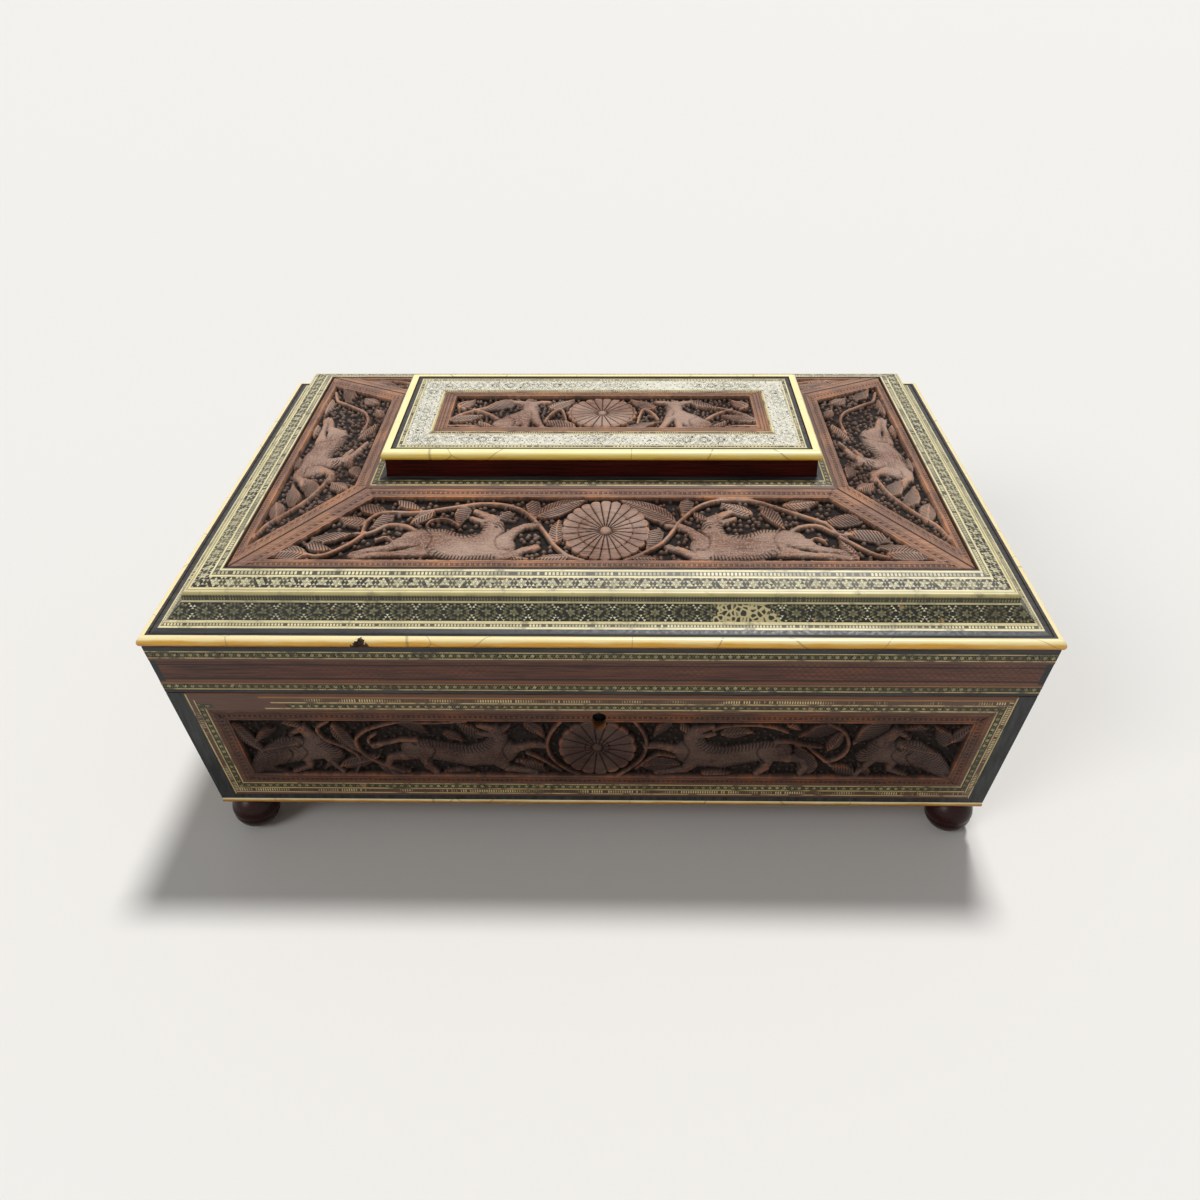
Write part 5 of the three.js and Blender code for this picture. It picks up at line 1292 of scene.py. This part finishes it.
worn_rail_along = worn_rail("worn_rail_along", "X", long_half)
worn_rail_across = worn_rail("worn_rail_across", "Y", short_half)
for side_name, side in sides.items():
    rail_finish = worn_rail_along if side["run"] == long_half else worn_rail_across
    finish_node(f"lid_{side_name}_rail", rail_finish)


# Mosaic bands of the skirt: one under the bone bead and one above the seam, each a row of small
# flowers between cream lines, with a strip of horn on its outer side.
for band_name, low, high, bands in (
    ("upper", 81.62, 87.38, [
        (0.9, border_wood), (0.4, bone_line), (2.2, small_flowers), (0.4, bone_line), (1.9, horn_strip)]),
    ("lower", 68.02, 72.98, [
        (1.3, horn_strip), (0.4, bone_line), (2.1, small_flowers), (0.4, tan_line), (0.8, border_wood)]),
):
    low_inset, high_inset = face_inset(low), face_inset(high)
    section = split((low_inset, low), (high_inset, high), bands)
    for inset, z in ((high_inset, high), (high_inset + veneer, high), (low_inset + veneer, low)):
        section.append((inset, z, planed_sandalwood, (0, 1)))
    moulding(f"skirt_{band_name}_band", section, "lid", "mosaic", f"skirt_{band_name}_mosaic_band", 6.0)


# Bone bead round the lid: half-round bone let into the widest edge, mitred at the corners, cream
# above and amber below; the front length has lost a chip near x -72 mm.
broken_bone = strip_wood("broken_bone", "#3a2a1c", 0.8)
lid_bead = half_round("lid_bone", ("#f2e2b0", "#dda42a", "#a06a1a"), 0.0, 3.0, 1.5, lid_edge, 90.8)
lid_bead.insert(11, (2.1, 90.8, horn_strip, (0, 1)))
moulding("lid_bead", lid_bead, "lid", "bone", "lid_bone_edging", 3.0, 0.05, (-72.0, 3.4, 1.3, broken_bone))


# Cornice of the lid: a wooden moulding veneered with sadeli: a ramp with large dark star flowers,
# a rounded step, and a flatter ramp with paler flowers up to the carved slopes.
star_tones = ["#7d7958", black, black, "#8d8966", "#6a6749", black, black, "#8a8662", cream, black]
star_look = (5.54, 8.6, 4, star_tones, 0.08, "#2f2c1f", 0.45, 0.6)
star_flowers = sadeli("star_flowers", *star_look, touching=True)
star_flowers_front = sadeli("star_flowers_front", *star_look, bare=(45.0, 9.5), blots=0.66, touching=True)
pale_tones = ["#d2c9a4", black, black, "#d6cda8", black, "#c6bd96"]
pale_flowers = sadeli("pale_flowers", 4.17, 4.75, 2, pale_tones, 0.07, "#8f8866", 0.4, 0.65)
wide_line = inlay_line("wide_line", "#ddd0a0", "#5c5236")
olive_line = inlay_line("olive_line", "#a89c66", "#4a452c")
upper_dots = dotted("upper_dots", 1.7, 1.2, "#ded3a8", "#3f3c2e", 0.6)
lower_dots = dotted("lower_dots", 1.13, 1.0, "#e2d6a8", "#4f4a33", 0.6)
# Painted shade: the dots on the step's upright face are a dimmer copy of the dot rows, for a face turned from
# the high light.
dots_in_painted_shade = dotted("dots_in_painted_shade", 1.5, 0.9, "#8a8460", "#3a3827", 0.5)
section = [(3.35, z, horn_strip, (0, 1)) for z in (87.45, 90.7)]
section += split((3.9, 90.7), (7.0, 92.1), [(1.45, horn_strip), (0.7, wide_line), (1.13, lower_dots)])
section += split((7.0, 92.1), (11.9, 97.1), [(0.8, wide_line), (5.54, star_flowers), (0.6, wide_line)])
section += split((11.9, 97.1), (11.9, 98.4), [(1.3, dots_in_painted_shade)])
step_inset, step_height, step_radius = 13.5, 98.4, 1.6


def on_step(degrees):
    """A point of the rounded step, from ninety degrees at its foot."""
    angle = math.radians(degrees)
    return step_inset - step_radius * math.sin(angle), step_height + step_radius * math.cos(angle)


for k, material in enumerate((dots_in_painted_shade, olive_line, olive_line, wide_line)):
    section.append((*on_step(90 - 19 * k), material, (0, 0.6)))
section += split(on_step(14), (22.6, 102.3), [
    (0.5, olive_line), (0.6, wide_line), (4.17, pale_flowers), (0.75, wide_line), (1.7, upper_dots),
    (0.75, wide_line), (0.4, horn_strip)])
ledge_under_slopes = ((22.6, 102.3), (22.6, 96.3), (25.6, 96.95), (25.6, 93.9), (11.95, 87.45))
section += [(a, z, planed_sandalwood, (0, 1)) for a, z in ledge_under_slopes]
moulding("cornice", section, "lid", "mosaic", "lid_mosaic_cornice", 5.0,
         front_only=(star_flowers, star_flowers_front))


# Carved slopes of the lid: four boards mitred along the hips, each with a beast or a pair of them
# running among vines, and at the foot of the plinth thin strips of horn, cream and mosaic.
slope_left = {
    "stems": [
        ([(-5, 4.2), (-10, 6.5), (-14.5, 11.5), (-17.5, 17), (-19.5, 20.5), (-22, 24), (-25.5, 28),
         (-30, 30.3), (-35, 31.3), (-41, 31.2), (-50, 29.2), (-60, 27), (-70, 27), (-74, 25.5), (-76.5, 22),
         (-77, 17)], 1.6, 1.3),
        ([(-76, 17), (-79.5, 12.5), (-83, 9.5), (-87, 6.8), (-91, 6.2), (-95, 7.8)], 1.5, 1.2),
        ([(-46, 20.5), (-50, 23.5), (-55, 23), (-56.5, 20.5)], 1.1, 0.8),
        ([(-66, 12.5), (-69, 14.8), (-72, 13.5)], 1, 0.8),
    ],
    "leaves": [
        ((-79.5, 16.7), (-92, 13.3), 4.4, -1), ((-93, 6.2), (-106.5, 6), 6.6, -3),
        ((-85.5, 9), (-94.2, 11.4), 4), ((-76, 22), (-86, 24.4), 4.6, 1), ((-74, 19.5), (-69, 26), 3.6),
        ((-69.5, 27.4), (-80, 30.6), 5, 1), ((-59, 28.2), (-67.5, 33), 4),
        ((-54.5, 27), (-62, 21.4), 4.4, -1), ((-46, 20.6), (-44.3, 30), 4.4, 1),
        ((-21, 24.4), (-22.8, 33.2), 4.6), ((-20.5, 24.5), (-5, 33.2), 6.8, 2),
        ((-13.6, 12.2), (-13.4, 23.5), 5, 1), ((-9.5, 5.4), (-20.4, 5), 4.2), ((-29, 5.6), (-22, 4.8), 2.2),
    ],
}
slope_right = {
    "stems": [
        ([(8, 4.3), (12, 6.5), (16, 9.3), (19.5, 12), (22, 15.5), (24, 19), (25, 21.5), (28, 25.5), (31, 29),
         (34, 31.3), (38, 33), (43, 33.6), (49, 33.4), (53, 32.3), (58, 29.8), (66, 25.8), (73, 22),
         (76.2, 17.3)], 1.6, 1.3), ([(77, 15.5), (80, 13), (83.5, 10), (87, 7.5), (91, 6)], 1.5, 1.2),
        ([(66, 12.5), (69, 14.8), (72, 13.5)], 1, 0.8),
    ],
    "leaves": [
        ((79, 17), (91.8, 15), 4.6, 1), ((90.5, 7), (105.8, 6), 7, 3), ((24.5, 21.8), (6.5, 33.3), 7, -2),
        ((27, 25.8), (29.2, 33.8), 4.2), ((15.3, 10), (18.3, 19.2), 5, -1), ((50, 26), (40, 31.8), 4.6),
        ((59.5, 19.6), (53, 30.5), 4.8, -1), ((60, 30.2), (72.4, 32.6), 4.6), ((73, 22.4), (84.4, 25), 5, -1),
        ((81.5, 4.6), (76.5, 14.2), 3.6), ((97, 11.6), (89, 10.6), 3.2), ((10, 5), (19, 5), 3.8),
    ],
}
slope_short = {
    "stems": [
        ([(-60, 5), (-50, 8), (-44, 13), (-38, 18), (-30, 24), (-20, 27), (-10, 26.5)], 1.5, 1.2),
        ([(20, 22), (28, 21), (35, 19), (42, 15), (48, 10), (52, 6), (60, 3.8)], 1.5, 1.1),
        ([(0, 31), (8, 27), (14, 26)], 1.2, 1),
    ],
    "leaves": [
        ((-45, 21), (-37, 28), 4.6), ((-15, 31.5), (-5, 26), 4.6), ((30, 24), (37, 31), 4.8),
        ((22, 12), (35, 18), 5.4, 1), ((25, 8), (40, 13), 5, -1), ((37, 5.5), (51, 9.5), 5.6),
        ((-62, 8), (-49, 14), 5, 1), ((-30, 29), (-22, 32.4), 3.8), ((28, 32.8), (19, 29.6), 4.2),
        ((-52, 5.4), (-38, 5.2), 3.4), ((-27, 5.2), (-17, 5.4), 2.8), ((2, 5.2), (11, 5), 2.8),
    ],
}


def draw_slope_long(field):
    pebbles(field, 11)
    grow(field, slope_left, slope_right)
    beast(field, running_beast)
    beast(field, running_beast, 0.9)
    rosette(field, 1.8, 18.3, 14.3, 24, 0.62)


def draw_slope_left(field, mirror=None):
    pebbles(field, 13)
    grow(field, slope_short if mirror is None else mirrored(slope_short, mirror))
    beast(field, running_beast, mirror, (46, 1.2), tail=False)


def draw_slope_right(field):
    draw_slope_left(field, 0.0)


carved_light = carved_wood("carved_sandalwood_light", "#3c221a", "#9a725c", "#bfa392", "#c98553", 0.7,
                           "#85604d", 0.8, 0.46, 0.3)
slope_inset, slope_foot, slope_gap, margin_from, margin_to = 22.9, 102.2, 0.12, 38.6, 44.85
draw_slope = {"front": draw_slope_long, "back": draw_slope_long,
              "left": draw_slope_left, "right": draw_slope_right}
margin = [(2.05, horn_strip), (0.45, bone_line), (1.9, small_flowers), (0.55, bone_line), (1.3, border_wood)]
for side_name, side in sides.items():
    half_at_foot = side["run"] - slope_inset
    face = on_plane(hip - math.pi / 2, (slope_inset - side["out"], slope_foot), side["turn"])

    def outline(low, high, inset, foot=half_at_foot):
        return low, high, foot - inset - math.cos(hip) * low, foot - inset - math.cos(hip) * high

    board = carve(
        f"carved_slope_{side_name}", face, outline(slope_gap, margin_to, slope_gap),
        outline(3.7, 34.0, 8.2), draw_slope[side_name],
        0.33 if side_name == "front" else 0.38, 5.4, carved_light, 0.35, 1.35, 38.55,
    )
    belong(board, "lid", "carved_sandalwood", f"lid_{side_name}_carved_slope")
    low, high, near_half, far_half = outline(margin_from, margin_to, 0.1)
    strip(f"slope_margin_{side_name}", face, ((-near_half, low), (near_half, low)),
          ((-far_half, high), (far_half, high)), margin, 1.2, "lid", f"lid_{side_name}_carved_slope")


# Plinth block: a rosewood riser that carries the top panel, planed and polished to a dark red gloss.
finish_node("plinth_block", planed_wood("polished_riser", "#170302", "#420e08", 0.28, (60, 1200, 1700), 0.1))


# Mosaic border of the plinth: a wide band of pale sadeli between cream lines and rows of dots,
# with a strip of horn beside the bone bead.
ivory, paler, ash = "#efead9", "#f1eddf", "#b3b196"
plinth_tones = [ivory, paler, ash, ivory, paler, "#6f6d58", ivory, ash, paler, ivory, "#a8a68c", ivory,
                "#8b8971", paler]
plinth_flowers = sadeli("plinth_flowers", 7.6, 5.85, 6, plinth_tones, 0.05, "#e6e2d2", 0.6, 0.35, blots=0.72)
plinth_top, border_x, border_y, panel_x, panel_y = 120.75, 70.85, 31.85, 58.8, 17.3


def plinth_face(along, depth, up):
    return np.stack([along, up, plinth_top - depth + 0 * along], axis=-1)


plinth_long = [(0.7, bone_line), (1.2, brown_dots), (0.6, wide_line), (8.6, plinth_flowers),
               (0.6, wide_line), (1.2, upper_dots), (0.6, wide_line), (1.4, horn_strip)]
plinth_short = [(0.6, bone_line), (0.5, wide_line), (7.6, plinth_flowers), (0.5, wide_line),
                (1.0, upper_dots), (0.5, wide_line), (1.4, horn_strip)]
for part, (ax, ay), (bx, by), bands in (
    ("front", (-1, -1), (1, -1), plinth_long), ("back", (-1, 1), (1, 1), plinth_long),
    ("left", (-1, -1), (-1, 1), plinth_short), ("right", (1, -1), (1, 1), plinth_short),
):
    outer = ((ax * border_x, ay * border_y), (bx * border_x, by * border_y))
    inner = ((ax * panel_x, ay * panel_y), (bx * panel_x, by * panel_y))
    strip(f"plinth_border_{part}", plinth_face, outer, inner, bands, veneer, "lid", "plinth_mosaic_border")


# Carved panel of the plinth: two seated beasts beside a fluted rosette, among leaves, in a
# reeded frame.
seated_beast = {
    "flesh": [
        [(-34, -8.2, 4.6), (-30.5, -4.5, 4.8), (-27, -0.5, 4.2), (-26, 3.2, 3.2), (-26.4, 6.8, 2.9)],
        [(-27, 8.4, 2.2), (-30, 9.6, 1.5), (-32.4, 10.2, 1)],
        [(-26, 8.8, 1.6), (-22.6, 9.8, 1.1), (-19.8, 9.9, 0.8)],
        [(-27.6, -3.5, 2.3), (-27.2, -9, 1.4), (-27.4, -12.2, 1.4)],
        [(-24.6, -2.5, 2.2), (-22.4, -9, 1.3), (-20.8, -13, 1.3)],
        [(-36, -9, 3.2), (-33.4, -12.2, 2), (-28, -13, 1.2)],
    ],
    "score": [[(-35.6, -3.6), (-31.2, -6.8), (-31.6, -11.2)], [(-26, 0.6), (-25.2, -2.6)]],
    "comb": [([(-29.4, 3), (-32.4, -0.4), (-36.6, -4)], 2), ([(-24, 5), (-22.6, 1.6)], 1.6)],
    "leaves": [((-28.4, 9.2), (-25.6, 12.4), 2.4)],
    "eye": (-27.6, 8.2),
    "tail": [(-37.4, -5.4), (-40, -2), (-43.4, 1), (-47, 3.2)],
}
plinth_vines = {
    "stems": [
        ([(-20, -6), (-18, 0), (-15, 3), (-13.4, -3), (-12.6, -9)], 1.3, 1),
        ([(-55, -11.6), (-48, -11.4), (-43.6, -12.4)], 1.5, 1.1),
        ([(-55, -8), (-52, -2.6), (-46.4, 2.2), (-42, 4.4)], 1.3, 1.1),
        ([(-50, 3), (-53, 6.4), (-51, 9.4), (-48, 9.6)], 1.1, 0.9),
    ],
    "leaves": [
        ((-52.4, 3.4), (-47, 11.6), 4.4, 1), ((-43.4, 3.4), (-32.8, 11.6), 5.2, -1),
        ((-55.2, -6.8), (-42.6, -2.4), 5.2, 1), ((-19.2, 3), (-10.4, 11.6), 5.4, 1),
        ((-20.4, -7.6), (-9.4, -12.8), 5, 1), ((-44, -8.4), (-38.4, -12.2), 3),
    ],
}


def draw_plinth(field):
    pebbles(field, 17, 1.7)
    grow(field, plinth_vines, mirrored(plinth_vines, 0.0))
    beast(field, seated_beast)
    beast(field, seated_beast, 0.0)
    rosette(field, 0, -0.4, 12.5, 22, 0.9)


plinth_panel = carve("carved_plinth_panel", plinth_face, (-17.15, 17.15, 58.65, 58.65),
                     (-14.0, 14.0, 54.4, 54.4), draw_plinth, 0.28, 3.5, carved_light, reeds=1.25)
belong(plinth_panel, "lid", "carved_sandalwood", "plinth_carved_panel")


# Bone bead round the plinth: half-round bone beside the mosaic border, mitred at the corners,
# cream with a yellower lower edge.
plinth_bead = half_round("plinth_bone", ("#fdf2b6", "#f4d667", "#d3a238"), 65.8, 3.0, 1.3, 117.87, 121.068)
moulding("plinth_bead", plinth_bead, "lid", "bone", "plinth_bone_edging", 3.0, 0.04)
